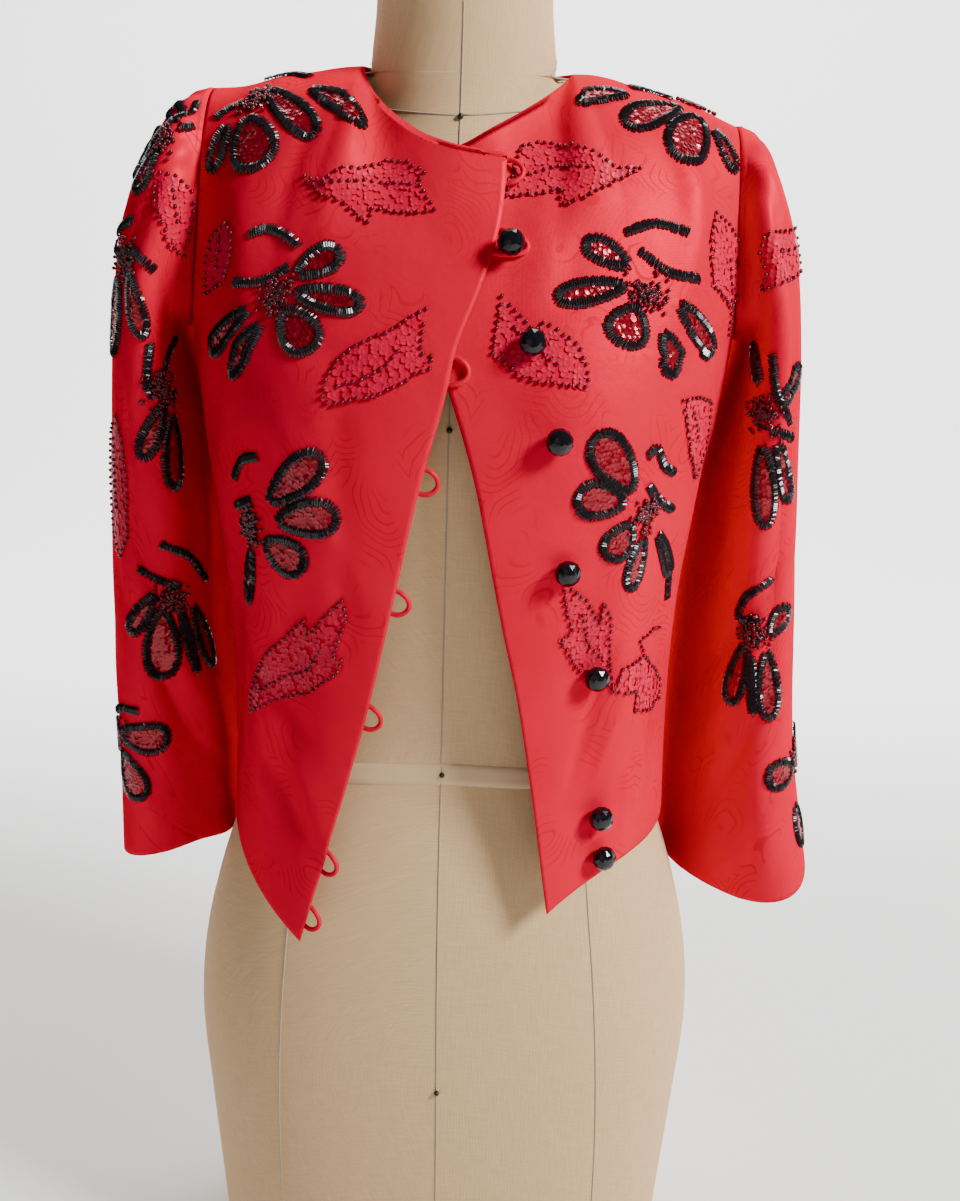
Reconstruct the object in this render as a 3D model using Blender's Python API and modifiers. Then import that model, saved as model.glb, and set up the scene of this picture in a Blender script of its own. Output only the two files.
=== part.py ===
"""A cropped matador jacket in beaded red silk, worn on a limbless dress form.

Blender 4.5, metres, +Z up. The form stands on its flat underside at the origin, its front faces -Y, and the
wearer's left is +X. Every cloth piece is a wall as a maker cuts it: two fronts, a back and two sleeves, with
seven glass buttons and eight loops.
"""
import bpy
import numpy as np
from mathutils import Vector

# Sizes in millimetres, turned into metres where a mesh is made
MM = 0.001
CLOTH_WALL = 2.0
SEAM_GAP = 0.3
ARMHOLE_GAP = 0.5
SEAM_STRIP = 3.0
OVERLAP_STEP = 3.0
SECTION_SQUARE = 0.03
SHOULDER_SEAM_Y = 4.0
BUST_X = 80.0
BUST_HEIGHT = 604.0
BUST_RADIUS = 46.0
JACKET_BUST_RISE = 5.0
FORM_BUST_RISE = 12.0
BUTTON_RADIUS = 7.5
BUTTON_SIDES = 8
SHANK_RADIUS = 1.9
LOOP_CORD = 2.4
LOOP_HALF_LENGTH = 7.0
LOOP_REACH = 9.0
FASTENED_REACH = 17.0
LOOP_STEPS = 11
LOOP_CORD_RISE = 0.4

# How the cloth runs up from the chest to the top edges: share of the way for each Bezier handle, share of
# the chest rows from which the climb is taken, where along the top edge it turns from the neckline's rise to
# lying flat over the shoulder, and the way it runs into each neckline
CLIMB_HANDLE = 0.38
ARRIVAL_HANDLE = 0.40
CLIMB_FROM = 0.985
FRONT_TURN_OVER = (0.25, 0.50)
BACK_TURN_OVER = (0.08, 0.18)
FRONT_NECK_ARRIVAL = np.array([0.0, 0.50, 0.86])
BACK_NECK_ARRIVAL = np.array([0.0, -0.30, 0.95])
# Where the left front tucks under the right one: x and height over which the step fades
TUCK_X = (26.0, 52.0)
TUCK_HEIGHT = (596.0, 626.0)
# Armholes and sleeves: row of the level tables at the underarm, steps of the armhole's curves below and
# above the chest, how the sleeve's rings bunch at the armhole, and the share of its length the seam holds
UNDERARM_ROW = 4
ARMHOLE_STEPS = (120, 40)
SLEEVE_BUNCHING = 1.25
SLEEVE_HELD = 0.10
# Fades in millimetres: of a fold beyond its ends, at pinned seams, below the sleeve seam, and of gathers
FOLD_FADE = 30.0
SEAM_FADE = 24.0
SLEEVE_FOLD_FADE = (4.0, 30.0)
GATHER_START = (3.0, 12.0)
GATHER_FULL_SHARE = 0.4

# Grid steps of the solids: columns across a piece, rows up it
FRONT_NECK_COLUMNS = 8
FRONT_SHOULDER_COLUMNS = 8
FRONT_LOWER_ROWS = 22
FRONT_UPPER_ROWS = 9
BACK_NECK_COLUMNS = 8
BACK_SHOULDER_COLUMNS = 7
BACK_LOWER_ROWS = 16
BACK_UPPER_ROWS = 9
SLEEVE_COLUMNS = 26
SLEEVE_ROWS = 24
FORM_COLUMNS = 32
FORM_SPAN_ROWS = 2

# The jacket's body, section by section: height, centre x, half width, depth in front, depth behind
BODY = np.array([
    (290.0, 0.5, 142.0, 128.0, 112.0),
    (350.0, 0.5, 141.0, 124.0, 110.0),
    (400.0, 0.5, 139.5, 121.0, 107.0),
    (450.0, 0.5, 139.5, 121.5, 106.0),
    (500.0, 0.5, 142.0, 123.0, 107.0),
    (550.0, 1.0, 148.0, 125.5, 109.0),
    (608.0, 2.0, 156.5, 126.5, 112.0),
    (650.0, 3.0, 161.0, 119.5, 113.0),
    (700.0, 4.5, 164.0, 101.0, 111.0),
    (750.0, 4.5, 165.0, 74.0, 99.0),
])

# The dress form, section by section: height, half width, y of its front, y of its back
FORM = np.array([
    (0.0, 154.0, -103.0, 118.0),
    (60.0, 158.5, -107.0, 123.0),
    (130.0, 164.0, -111.0, 129.0),
    (200.0, 168.0, -113.0, 131.0),
    (240.0, 164.5, -112.0, 128.0),
    (300.0, 150.5, -107.0, 118.0),
    (350.0, 134.0, -98.0, 104.0),
    (400.0, 122.0, -90.0, 92.0),
    (450.0, 124.5, -93.0, 92.0),
    (500.0, 131.0, -100.0, 96.0),
    (550.0, 138.0, -107.0, 100.0),
    (608.0, 145.0, -111.0, 103.0),
    (650.0, 148.0, -105.0, 102.0),
    (700.0, 149.0, -86.0, 94.0),
    (728.0, 147.0, -70.0, 80.0),
    (745.0, 141.0, -56.0, 66.0),
    (757.0, 131.0, -43.0, 52.0),
    (768.0, 121.0, -32.0, 40.0),
    (777.0, 112.0, -24.0, 31.0),
    (785.0, 100.0, -15.0, 22.0),
    (791.2, 87.0, -10.0, 16.0),
    (793.7, 74.0, -5.0, 13.0),
    (794.2, 63.0, -2.5, 11.0),
    (794.6, 55.0, -2.0, 10.0),
    (800.0, 53.4, -2.0, 9.0),
    (810.0, 52.3, -2.0, 9.0),
    (832.0, 50.0, -10.0, 12.0),
    (856.0, 49.5, -10.0, 12.0),
])
# The form's neck, which runs down into the chest: height, half width, y of its front, y of its back
FORM_NECK = np.array([
    (560.0, 64.0, -2.0, 2.0),
    (640.0, 62.0, -40.0, 42.0),
    (700.0, 60.0, -62.0, 68.0),
    (745.0, 56.0, -59.0, 62.0),
    (772.0, 53.4, -51.0, 55.0),
    (798.0, 52.8, -47.5, 51.5),
    (832.0, 50.0, -48.5, 50.0),
    (856.0, 49.5, -50.0, 50.0),
])

# Each front from the hem up to the chest: height at its free edge, height and angle at its outer edge
RIGHT_FRONT_LEVELS = np.array([
    (292.0, 347.0, 90.0),
    (400.0, 410.0, 90.0),
    (500.0, 505.0, 90.0),
    (580.0, 585.0, 90.0),
    (640.0, 650.0, 90.0),
    (655.0, 655.5, 80.0),
    (672.0, 668.0, 72.0),
    (692.0, 700.0, 66.5),
])
LEFT_FRONT_LEVELS = np.array([
    (320.0, 349.0, 90.0),
    (408.0, 412.0, 90.0),
    (500.0, 505.0, 90.0),
    (580.0, 585.0, 90.0),
    (640.0, 650.0, 90.0),
    (655.0, 655.5, 80.0),
    (672.0, 668.0, 72.0),
    (692.0, 700.0, 66.5),
])
BACK_LEVELS = np.array([
    (352.0, 348.0, 90.0),
    (412.0, 411.0, 90.0),
    (505.0, 505.0, 90.0),
    (585.0, 585.0, 90.0),
    (648.0, 650.0, 90.0),
    (656.0, 655.5, 80.0),
    (672.0, 668.0, 73.0),
    (700.0, 700.0, 68.0),
])

# How soon each front's rows rise from the free edge to the side seam's level
RIGHT_HEM_BOW = 1.5
LEFT_HEM_BOW = 5.0

# The free edge of each front: height, x
RIGHT_FRONT_EDGE = np.array([
    (292.0, -87.0), (350.0, -71.0), (443.0, -46.0), (514.0, -30.5), (584.0, -15.5),
    (634.0, -2.5), (654.0, 1.5), (684.0, 13.0), (698.0, 18.0),
])
LEFT_FRONT_EDGE = np.array([
    (320.0, 62.5), (408.0, 49.0), (517.0, 28.5), (584.0, 18.5), (606.0, 12.0),
    (632.0, -1.5), (660.0, -12.0), (700.0, -15.0),
])

# The shoulder seams from the neck out to the arm: x, height
RIGHT_SHOULDER = np.array([
    (-57.5, 799.0), (-69.0, 798.0), (-85.0, 795.3), (-101.0, 793.0), (-129.0, 786.0), (-143.5, 785.0),
])
LEFT_SHOULDER = np.array([
    (62.5, 797.5), (73.0, 797.5), (85.0, 795.5), (101.5, 790.5), (130.5, 783.0), (158.5, 771.5),
])

# The necklines, from the free edge or the centre back round to the neck point: x, y, height
RIGHT_NECKLINE = np.array([
    (25.5, -72.0, 753.0), (-6.5, -70.0, 758.0), (-19.0, -65.0, 762.0), (-34.5, -53.0, 771.0),
    (-46.5, -37.5, 781.0), (-55.0, -14.5, 793.0), (-57.5, 4.0, 799.0),
])
LEFT_NECKLINE = np.array([
    (-16.5, -70.0, 751.0), (1.5, -70.0, 757.0), (15.5, -65.0, 765.0), (31.5, -54.0, 774.0),
    (47.5, -38.0, 784.0), (58.5, -16.0, 792.5), (62.5, 4.0, 797.5),
])
BACK_NECKLINE = np.array([
    (-57.5, 4.0, 799.0), (-52.0, 28.0, 799.0), (-32.0, 49.0, 797.0), (3.0, 58.0, 795.0),
    (37.0, 49.0, 796.0), (57.0, 28.0, 798.0), (62.5, 4.0, 797.5),
])

# The sleeves, ring by ring from the armhole to the hem: share of the length, then x, y and height of the
# ring's outer, front, inner and back points
RIGHT_SLEEVE = np.array([
    (0.00, -143.5, 4.0, 785.0, -150.0, -44.0, 700.0, -158.5, 0.0, 650.0, -150.0, 48.0, 700.0),
    (0.03, -158.0, 4.0, 774.5, -160.0, -53.0, 707.0, -163.0, 0.0, 649.0, -160.0, 58.0, 706.0),
    (0.07, -174.0, 5.0, 758.0, -170.0, -58.0, 700.0, -167.0, 2.0, 645.0, -170.0, 66.0, 698.0),
    (0.12, -187.0, 8.0, 738.0, -177.0, -60.0, 685.0, -165.0, 10.0, 636.0, -177.0, 71.0, 684.0),
    (0.18, -196.0, 12.0, 710.0, -182.0, -58.0, 661.0, -161.5, 20.0, 619.0, -182.0, 75.0, 660.0),
    (0.27, -202.5, 16.0, 667.0, -185.0, -54.0, 625.0, -156.0, 32.0, 590.0, -184.0, 79.0, 624.0),
    (0.42, -210.0, 20.0, 592.0, -187.0, -48.0, 555.0, -151.0, 40.0, 528.0, -186.0, 84.0, 558.0),
    (0.58, -215.5, 21.0, 512.0, -188.0, -41.0, 480.0, -147.5, 44.0, 458.0, -186.0, 88.0, 484.0),
    (0.76, -216.0, 21.0, 417.0, -190.0, -33.0, 400.0, -146.0, 46.0, 388.0, -184.0, 91.0, 402.0),
    (1.00, -218.5, 18.0, 300.0, -193.0, -21.0, 303.0, -148.0, 48.0, 306.0, -183.0, 93.0, 305.0),
])
LEFT_SLEEVE = np.array([
    (0.00, 158.5, 4.0, 771.5, 158.0, -44.0, 700.0, 164.0, 0.0, 650.0, 160.0, 48.0, 700.0),
    (0.03, 168.0, 4.0, 763.5, 168.0, -52.0, 706.0, 169.0, 0.0, 648.0, 168.0, 58.0, 704.0),
    (0.07, 181.0, 5.0, 746.0, 176.0, -56.0, 697.0, 173.0, 2.0, 643.0, 177.0, 65.0, 696.0),
    (0.12, 190.5, 8.0, 726.0, 182.0, -57.0, 680.0, 171.5, 10.0, 634.0, 184.0, 70.0, 682.0),
    (0.18, 196.5, 12.0, 700.0, 186.0, -56.0, 656.0, 167.5, 20.0, 616.0, 188.0, 74.0, 658.0),
    (0.27, 201.5, 16.0, 663.0, 189.0, -53.0, 620.0, 161.0, 32.0, 586.0, 190.0, 78.0, 620.0),
    (0.42, 209.0, 20.0, 588.0, 191.0, -47.0, 548.0, 154.5, 40.0, 522.0, 193.0, 83.0, 552.0),
    (0.58, 216.0, 22.0, 505.0, 194.0, -42.0, 468.0, 150.0, 44.0, 448.0, 195.0, 87.0, 474.0),
    (0.76, 223.0, 26.0, 408.0, 202.0, -37.0, 380.0, 148.5, 46.0, 366.0, 200.0, 91.0, 384.0),
    (1.00, 241.0, 32.0, 308.0, 217.0, -31.0, 284.0, 152.0, 48.0, 287.0, 204.0, 94.0, 300.0),
])

# Buttons on the left front: x, height, length of the shank (the fastened one stands up through its loop)
BUTTONS = (
    (29.0, 704.0, 5.0), (41.5, 657.0, 1.2), (56.5, 608.0, 1.2), (63.5, 535.0, 1.2), (83.5, 469.0, 1.2),
    (90.5, 379.0, 1.2), (92.5, 353.0, 1.2),
)
# Half outline of a button's glass: share of its radius, height above the shank in millimetres
BUTTON_PROFILE = np.array([(0.62, 0.6), (0.94, 3.6), (1.0, 6.0), (0.86, 8.8), (0.52, 10.8), (0.2, 11.4)])
# Loops on the right front: height on the free edge, reach
LOOPS = (
    (744.0, LOOP_REACH), (709.0, FASTENED_REACH), (643.0, LOOP_REACH), (584.0, LOOP_REACH),
    (514.0, LOOP_REACH), (443.0, LOOP_REACH), (347.0, LOOP_REACH), (309.0, LOOP_REACH),
)

# Main folds: piece, start and end as millimetres across and up the piece, half width, height outward
FOLDS = {
    "right_front": (
        (60.0, 60.0, 84.0, 250.0, 16.0, 3.5),
        (108.0, 30.0, 118.0, 200.0, 13.0, -3.0),
        (28.0, 30.0, 62.0, 190.0, 14.0, -2.5),
        (120.0, 320.0, 150.0, 420.0, 12.0, 2.5),
    ),
    "left_front": (
        (52.0, 40.0, 86.0, 240.0, 15.0, 3.0),
        (96.0, 30.0, 120.0, 190.0, 13.0, -3.0),
        (30.0, 30.0, 44.0, 160.0, 13.0, -2.0),
        (140.0, 330.0, 160.0, 430.0, 12.0, 2.0),
    ),
    "back": (
        (90.0, 20.0, 110.0, 230.0, 16.0, 3.0),
        (160.0, 10.0, 165.0, 190.0, 15.0, -3.0),
        (232.0, 10.0, 226.0, 200.0, 15.0, -3.0),
        (310.0, 20.0, 288.0, 230.0, 16.0, 3.0),
    ),
    "right_sleeve": (
        (78.0, 20.0, 92.0, 330.0, 12.0, -3.0),
        (118.0, 60.0, 112.0, 400.0, 14.0, 4.0),
        (262.0, 60.0, 250.0, 380.0, 15.0, 4.0),
    ),
    "left_sleeve": (
        (70.0, 20.0, 88.0, 330.0, 12.0, -3.5),
        (116.0, 60.0, 122.0, 400.0, 15.0, 4.0),
        (262.0, 60.0, 254.0, 380.0, 15.0, 4.0),
    ),
}
# Gathers in each sleeve head: how many, their height, how far they run down from the seam
RIGHT_GATHERS = (9, 1.6, 46.0)
LEFT_GATHERS = (7, 1.0, 34.0)

SILK_RED = (0.66, 0.012, 0.025, 1.0)
FORM_LINEN = (0.62, 0.52, 0.40, 1.0)
BUTTON_BLACK = (0.006, 0.006, 0.007, 1.0)


def curve(knots, values, at):
    """Cubic through the knots: each slope is the one between the knots on either side."""
    values = np.asarray(values, float)
    slopes = np.gradient(values, knots, axis=0)
    at = np.clip(at, knots[0], knots[-1])
    left = np.clip(np.searchsorted(knots, at, side="right") - 1, 0, len(knots) - 2)
    span = knots[left + 1] - knots[left]
    part = (at - knots[left]) / span
    if values.ndim == 2:
        part = part[..., None]
        span = span[..., None]
    start = (1 + 2 * part) * (1 - part) ** 2 * values[left]
    leave = part * (1 - part) ** 2 * span * slopes[left]
    end = part ** 2 * (3 - 2 * part) * values[left + 1]
    arrive = part ** 2 * (part - 1) * span * slopes[left + 1]
    return start + leave + end + arrive


def smooth_step(low, high, value):
    """0 below low, 1 above high, and a soft S between them."""
    share = np.clip((value - low) / (high - low), 0.0, 1.0)
    return share * share * (3.0 - 2.0 * share)


def lengths_along(points, axis):
    """Distance walked along one axis of a grid of points."""
    steps = np.linalg.norm(np.diff(points, axis=axis), axis=-1)
    return np.concatenate([np.zeros_like(np.take(steps, [0], axis)), np.cumsum(steps, axis=axis)], axis=axis)


def evenly(points, shares):
    """Points of a curve at shares of its length."""
    walked = lengths_along(points, 0)
    return curve(walked / walked[-1], points, shares)


def width_share(angle):
    """Share of the half width: sine of the angle, squared off by a little of its third harmonic."""
    return (np.sin(angle) + SECTION_SQUARE * np.sin(3 * angle)) / (1 - SECTION_SQUARE)


def depth_share(angle):
    """Share of the depth: cosine of the angle, squared off in the same way."""
    return (np.cos(angle) - SECTION_SQUARE * np.cos(3 * angle)) / (1 - SECTION_SQUARE)


def angle_at(share):
    """Angle whose width share is the one given, by Newton's steps."""
    angle = np.arcsin(np.clip(share, -0.97, 0.97))
    for _ in range(6):
        slope = (np.cos(angle) + 3 * SECTION_SQUARE * np.cos(3 * angle)) / (1 - SECTION_SQUARE)
        angle = angle - (width_share(angle) - share) / slope
    return angle


def body_point(height, angle, front):
    """Point of the body at a height: half width times width share across, depth times depth share out."""
    centre = curve(BODY[:, 0], BODY[:, 1], height)
    half_width = curve(BODY[:, 0], BODY[:, 2], height)
    depth = curve(BODY[:, 0], BODY[:, 3 if front else 4], height)
    x = centre + half_width * width_share(angle)
    y = (-depth if front else depth) * depth_share(angle)
    if front:
        beside = (np.abs(x - centre) - BUST_X) / BUST_RADIUS
        above = (height - BUST_HEIGHT) / BUST_RADIUS
        y = y - JACKET_BUST_RISE * np.exp(-beside ** 2 - above ** 2)
    return np.stack([x, y, height], axis=-1)


def lower_front(across, up, side, levels, edge, bow):
    """Front below the chest: each row runs from the free edge's angle to the outer edge's angle."""
    knots = (levels[:, 0] - levels[0, 0]) / (levels[-1, 0] - levels[0, 0])
    edge_height = curve(knots, levels[:, 0], up)
    outer_height = curve(knots, levels[:, 1], up)
    outer_angle = np.radians(np.minimum(curve(knots, levels[:, 2], up), 90.0))
    height = edge_height + (outer_height - edge_height) * (1.0 - (1.0 - across) ** bow)
    centre = curve(BODY[:, 0], BODY[:, 1], edge_height)
    half_width = curve(BODY[:, 0], BODY[:, 2], edge_height)
    edge_share = (curve(edge[:, 0], edge[:, 1], edge_height) - centre) / half_width
    edge_angle = angle_at(edge_share)
    return body_point(height, edge_angle + (side * outer_angle - edge_angle) * across, True)


def lower_back(across, up):
    """Back below the shoulder blades, from the right side seam at 0 to the left one at 1."""
    levels = BACK_LEVELS
    knots = (levels[:, 0] - levels[0, 0]) / (levels[-1, 0] - levels[0, 0])
    middle = 1.0 - np.abs(2.0 * across - 1.0) ** 2
    outer_height = curve(knots, levels[:, 1], up)
    height = outer_height + (curve(knots, levels[:, 0], up) - outer_height) * middle
    outer_angle = np.radians(np.minimum(curve(knots, levels[:, 2], up), 90.0))
    return body_point(height, outer_angle * (2.0 * across - 1.0), False)


def rise_to(chest, climb, top, arrival, up):
    """Cubic Bezier up each column, from the chest row along its climb to the top edge along its arrival."""
    reach = np.linalg.norm(top - chest, axis=-1, keepdims=True)
    first = chest + climb * reach * CLIMB_HANDLE
    second = top - arrival * reach * ARRIVAL_HANDLE
    up = up[..., None]
    down = 1 - up
    return down ** 3 * chest + 3 * up * down ** 2 * first + 3 * up ** 2 * down * second + up ** 3 * top


def unit(vectors):
    """Vectors over their lengths."""
    return vectors / np.linalg.norm(vectors, axis=-1, keepdims=True)


def shoulder_line(rows):
    """Shoulder seam points with the seam's own y."""
    return np.stack([rows[:, 0], np.full(len(rows), SHOULDER_SEAM_Y), rows[:, 1]], axis=-1)


def joined_shares(counts):
    """Even shares for several stretches laid end to end, with a column on each corner."""
    total = sum(counts)
    return [np.arange(count + 1) / count for count in counts], np.arange(total + 1) / total


def front_surface(shape, lower_rows, upper_rows, columns):
    """Grid of a front: rows from the hem up, columns from the free edge out to the side seam and armhole."""
    side, levels, edge, bow, neckline, shoulder = shape
    (neck_shares, shoulder_shares), across = joined_shares(columns)
    lower_up = np.linspace(0.0, 1.0, lower_rows + 1)
    lower = lower_front(across[None, :], lower_up[:, None], side, levels, edge, bow)
    chest = lower[-1]
    nearly = lower_front(across[None, :], np.array([[CLIMB_FROM]]), side, levels, edge, bow)[0]
    seam = evenly(shoulder_line(shoulder), shoulder_shares)
    top = np.concatenate([evenly(neckline, neck_shares), seam[1:]])
    over = smooth_step(*FRONT_TURN_OVER, across)[:, None]
    arrival = unit(over * np.array([0.0, 1.0, 0.0]) + (1 - over) * FRONT_NECK_ARRIVAL)
    upper_up = np.linspace(0.0, 1.0, upper_rows + 1)[1:, None] * np.ones_like(across)
    upper = rise_to(chest, unit(chest - nearly), top, arrival, upper_up)
    points = np.concatenate([lower, upper[:-1], [top - arrival * SEAM_STRIP], [top]])
    points[..., 1] -= SEAM_GAP / 2
    return points


def tuck_under(points):
    """Left front set back under the right one, near its free edge above the crossing."""
    near_edge = 1.0 - smooth_step(*TUCK_X, points[..., 0])
    above = smooth_step(*TUCK_HEIGHT, points[..., 2])
    points[..., 1] += OVERLAP_STEP * near_edge * above
    return points


def back_surface(lower_rows, upper_rows, columns):
    """Grid of the back: rows from the hem up, columns from the right side seam to the left one."""
    stretches, across = joined_shares((columns[1], columns[0], columns[1]))
    lower_up = np.linspace(0.0, 1.0, lower_rows + 1)
    lower = lower_back(across[None, :], lower_up[:, None])
    chest = lower[-1]
    nearly = lower_back(across[None, :], np.array([[CLIMB_FROM]]))[0]
    top = np.concatenate([
        evenly(shoulder_line(RIGHT_SHOULDER[::-1]), stretches[0]),
        evenly(BACK_NECKLINE, stretches[1])[1:],
        evenly(shoulder_line(LEFT_SHOULDER), stretches[2])[1:],
    ])
    over = smooth_step(*BACK_TURN_OVER, np.abs(across - 0.5))[:, None]
    arrival = unit(over * np.array([0.0, -1.0, 0.0]) + (1 - over) * BACK_NECK_ARRIVAL)
    upper_up = np.linspace(0.0, 1.0, upper_rows + 1)[1:, None] * np.ones_like(across)
    upper = rise_to(chest, unit(chest - nearly), top, arrival, upper_up)
    points = np.concatenate([lower, upper[:-1], [top - arrival * SEAM_STRIP], [top]])
    points[..., 1] += SEAM_GAP / 2
    return points


def armhole_edges(shape):
    """Armhole seam as two fine curves from the shoulder tip to the underarm, in front and behind."""
    side, levels = shape[:2]
    first_rows = []
    for rows in (levels[:, 0], BACK_LEVELS[:, 0]):
        share = (rows[UNDERARM_ROW] - rows[0]) / (rows[-1] - rows[0])
        first_rows.append(int(round(share * ARMHOLE_STEPS[0])))
    front = front_surface(shape, *ARMHOLE_STEPS, (6, 6))[first_rows[0]:, -1]
    back = back_surface(*ARMHOLE_STEPS, (6, 6))[first_rows[1]:, 0 if side < 0 else -1]
    return front[::-1], back[::-1]


def ring(rows, share, angle):
    """Ring of a sleeve through its outer, front, inner and back points: half the way across by the cosine,
    half the way through by the sine, with the front and back points' mean brought in by the sine squared."""
    outer = curve(rows[:, 0], rows[:, 1:4], share)
    front = curve(rows[:, 0], rows[:, 4:7], share)
    inner = curve(rows[:, 0], rows[:, 7:10], share)
    back = curve(rows[:, 0], rows[:, 10:13], share)
    middle = (outer + inner) / 2
    cosine = np.cos(angle)[..., None]
    sine = np.sin(angle)[..., None]
    across = cosine * (outer - inner) / 2
    through = sine * (front - back) / 2
    return middle + across + through + sine ** 2 * ((front + back) / 2 - middle)


def sleeve_surface(side, rows, armhole, row_count, column_count):
    """Grid of a sleeve: rows from the armhole down, columns round it from the shoulder tip forward."""
    angle = np.arange(column_count) / column_count * 2 * np.pi
    front, back = armhole
    half = angle <= np.pi
    seam = np.where(
        half[:, None],
        evenly(front, np.clip(angle / np.pi, 0, 1)),
        evenly(back, np.clip(2 - angle / np.pi, 0, 1)),
    )
    seam[:, 0] += side * ARMHOLE_GAP
    share = np.linspace(0.0, 1.0, row_count) ** SLEEVE_BUNCHING
    grid_share, grid_angle = np.meshgrid(share, angle, indexing="ij")
    free = ring(rows, grid_share, grid_angle)
    held = 1.0 - smooth_step(0.0, SLEEVE_HELD, grid_share)[..., None]
    points = free + held * (seam - ring(rows, np.zeros_like(angle), angle))[None]
    points[0] = seam
    strip = np.array([side * SEAM_STRIP, 0.0, 0.0])
    return np.concatenate([points[:1], seam[None] + strip, points[1:] + strip * held[1:]])


def outward(points, closed):
    """Unit normals of a grid, from the cross product of its two directions."""
    if closed:
        padded = np.concatenate([points[:, -1:], points, points[:, :1]], axis=1)
        along = np.gradient(padded, axis=1)[:, 1:-1]
    else:
        along = np.gradient(points, axis=1)
    up = np.gradient(points, axis=0)
    return unit(np.cross(along, up))


def fold(points, rows, pinned, closed=False, turn=1.0):
    """Piece with its folds: soft ridges and troughs along straight lines in its own millimetres across and
    up, each a bell of its half width, fading at its ends and at the pinned seams."""
    across = lengths_along(points, 1)
    up = lengths_along(points, 0)
    height = np.zeros(points.shape[:2])
    for start_across, start_up, end_across, end_up, half_width, rise in rows:
        run = np.array([end_across - start_across, end_up - start_up])
        length = np.hypot(*run)
        run = run / length
        along = (across - start_across) * run[0] + (up - start_up) * run[1]
        off = (across - start_across) * run[1] - (up - start_up) * run[0]
        leaving = smooth_step(length - FOLD_FADE, length + FOLD_FADE, along)
        ends = smooth_step(-FOLD_FADE, FOLD_FADE, along) * (1 - leaving)
        height += rise * np.exp(-(off / half_width) ** 2) * ends
    if "outer" in pinned:
        height *= smooth_step(0.0, SEAM_FADE, across[:, -1:] - across)
    if "inner" in pinned:
        height *= smooth_step(0.0, SEAM_FADE, across)
    if "top" in pinned:
        height *= smooth_step(0.0, SEAM_FADE, up[-1:] - up)
    if "start" in pinned:
        height *= smooth_step(*SLEEVE_FOLD_FADE, up)
    return points + turn * outward(points, closed) * height[..., None]


def gather(points, count, rise, reach, turn):
    """Sleeve head with its gathers: a cosine round the ring, strongest over the shoulder, fading down."""
    angle = np.arange(points.shape[1]) / points.shape[1] * 2 * np.pi
    over_shoulder = np.clip(np.cos(angle), 0, 1) ** 0.7
    down = lengths_along(points, 0)
    fade = smooth_step(*GATHER_START, down) * (1 - smooth_step(reach * GATHER_FULL_SHARE, reach, down))
    height = rise * over_shoulder * np.cos(count * 2 * angle) * fade
    return points + turn * outward(points, True) * height[..., None]


def scene_collections():
    """Start from an empty scene, with one collection for the object."""
    for thing in list(bpy.data.objects):
        bpy.data.objects.remove(thing, do_unlink=True)
    parts = bpy.data.collections.new("matador_jacket")
    bpy.context.scene.collection.children.link(parts)
    return parts


def material(name, colour, roughness, metallic=0.0):
    """Plain material from a colour, a roughness and a metallic value."""
    made = bpy.data.materials.new(name)
    made.use_nodes = True
    shader = made.node_tree.nodes["Principled BSDF"]
    shader.inputs["Base Color"].default_value = colour
    shader.inputs["Roughness"].default_value = roughness
    shader.inputs["Metallic"].default_value = metallic
    return made


def grid_faces(rows, columns, closed, turned):
    """Quads of a grid, wound so that they face outwards."""
    steps = columns if closed else columns - 1
    row, column = np.meshgrid(np.arange(rows - 1) * columns, np.arange(steps), indexing="ij")
    beside = (column + 1) % columns
    above = row + columns
    faces = np.stack([row + column, row + beside, above + beside, above + column], axis=-1).reshape(-1, 4)
    return faces[:, ::-1] if turned else faces


def wall(name, points, closed, turned, cloth, collection):
    """Cloth piece: its grid thickened by Solidify to the side its faces turn away from. The fronts and the
    back thicken inwards, and the sleeves, which go over the seam allowances, outwards."""
    rows, columns = points.shape[:2]
    mesh = bpy.data.meshes.new(name)
    faces = grid_faces(rows, columns, closed, turned)
    mesh.from_pydata((points.reshape(-1, 3) * MM).tolist(), [], faces.tolist())
    mesh.materials.append(cloth)
    piece = bpy.data.objects.new(name, mesh)
    collection.objects.link(piece)
    thickness = piece.modifiers.new("cloth wall", "SOLIDIFY")
    thickness.thickness = CLOTH_WALL * MM
    thickness.offset = -1.0
    thickness.use_rim = True
    mesh.shade_smooth()
    return piece


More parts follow.
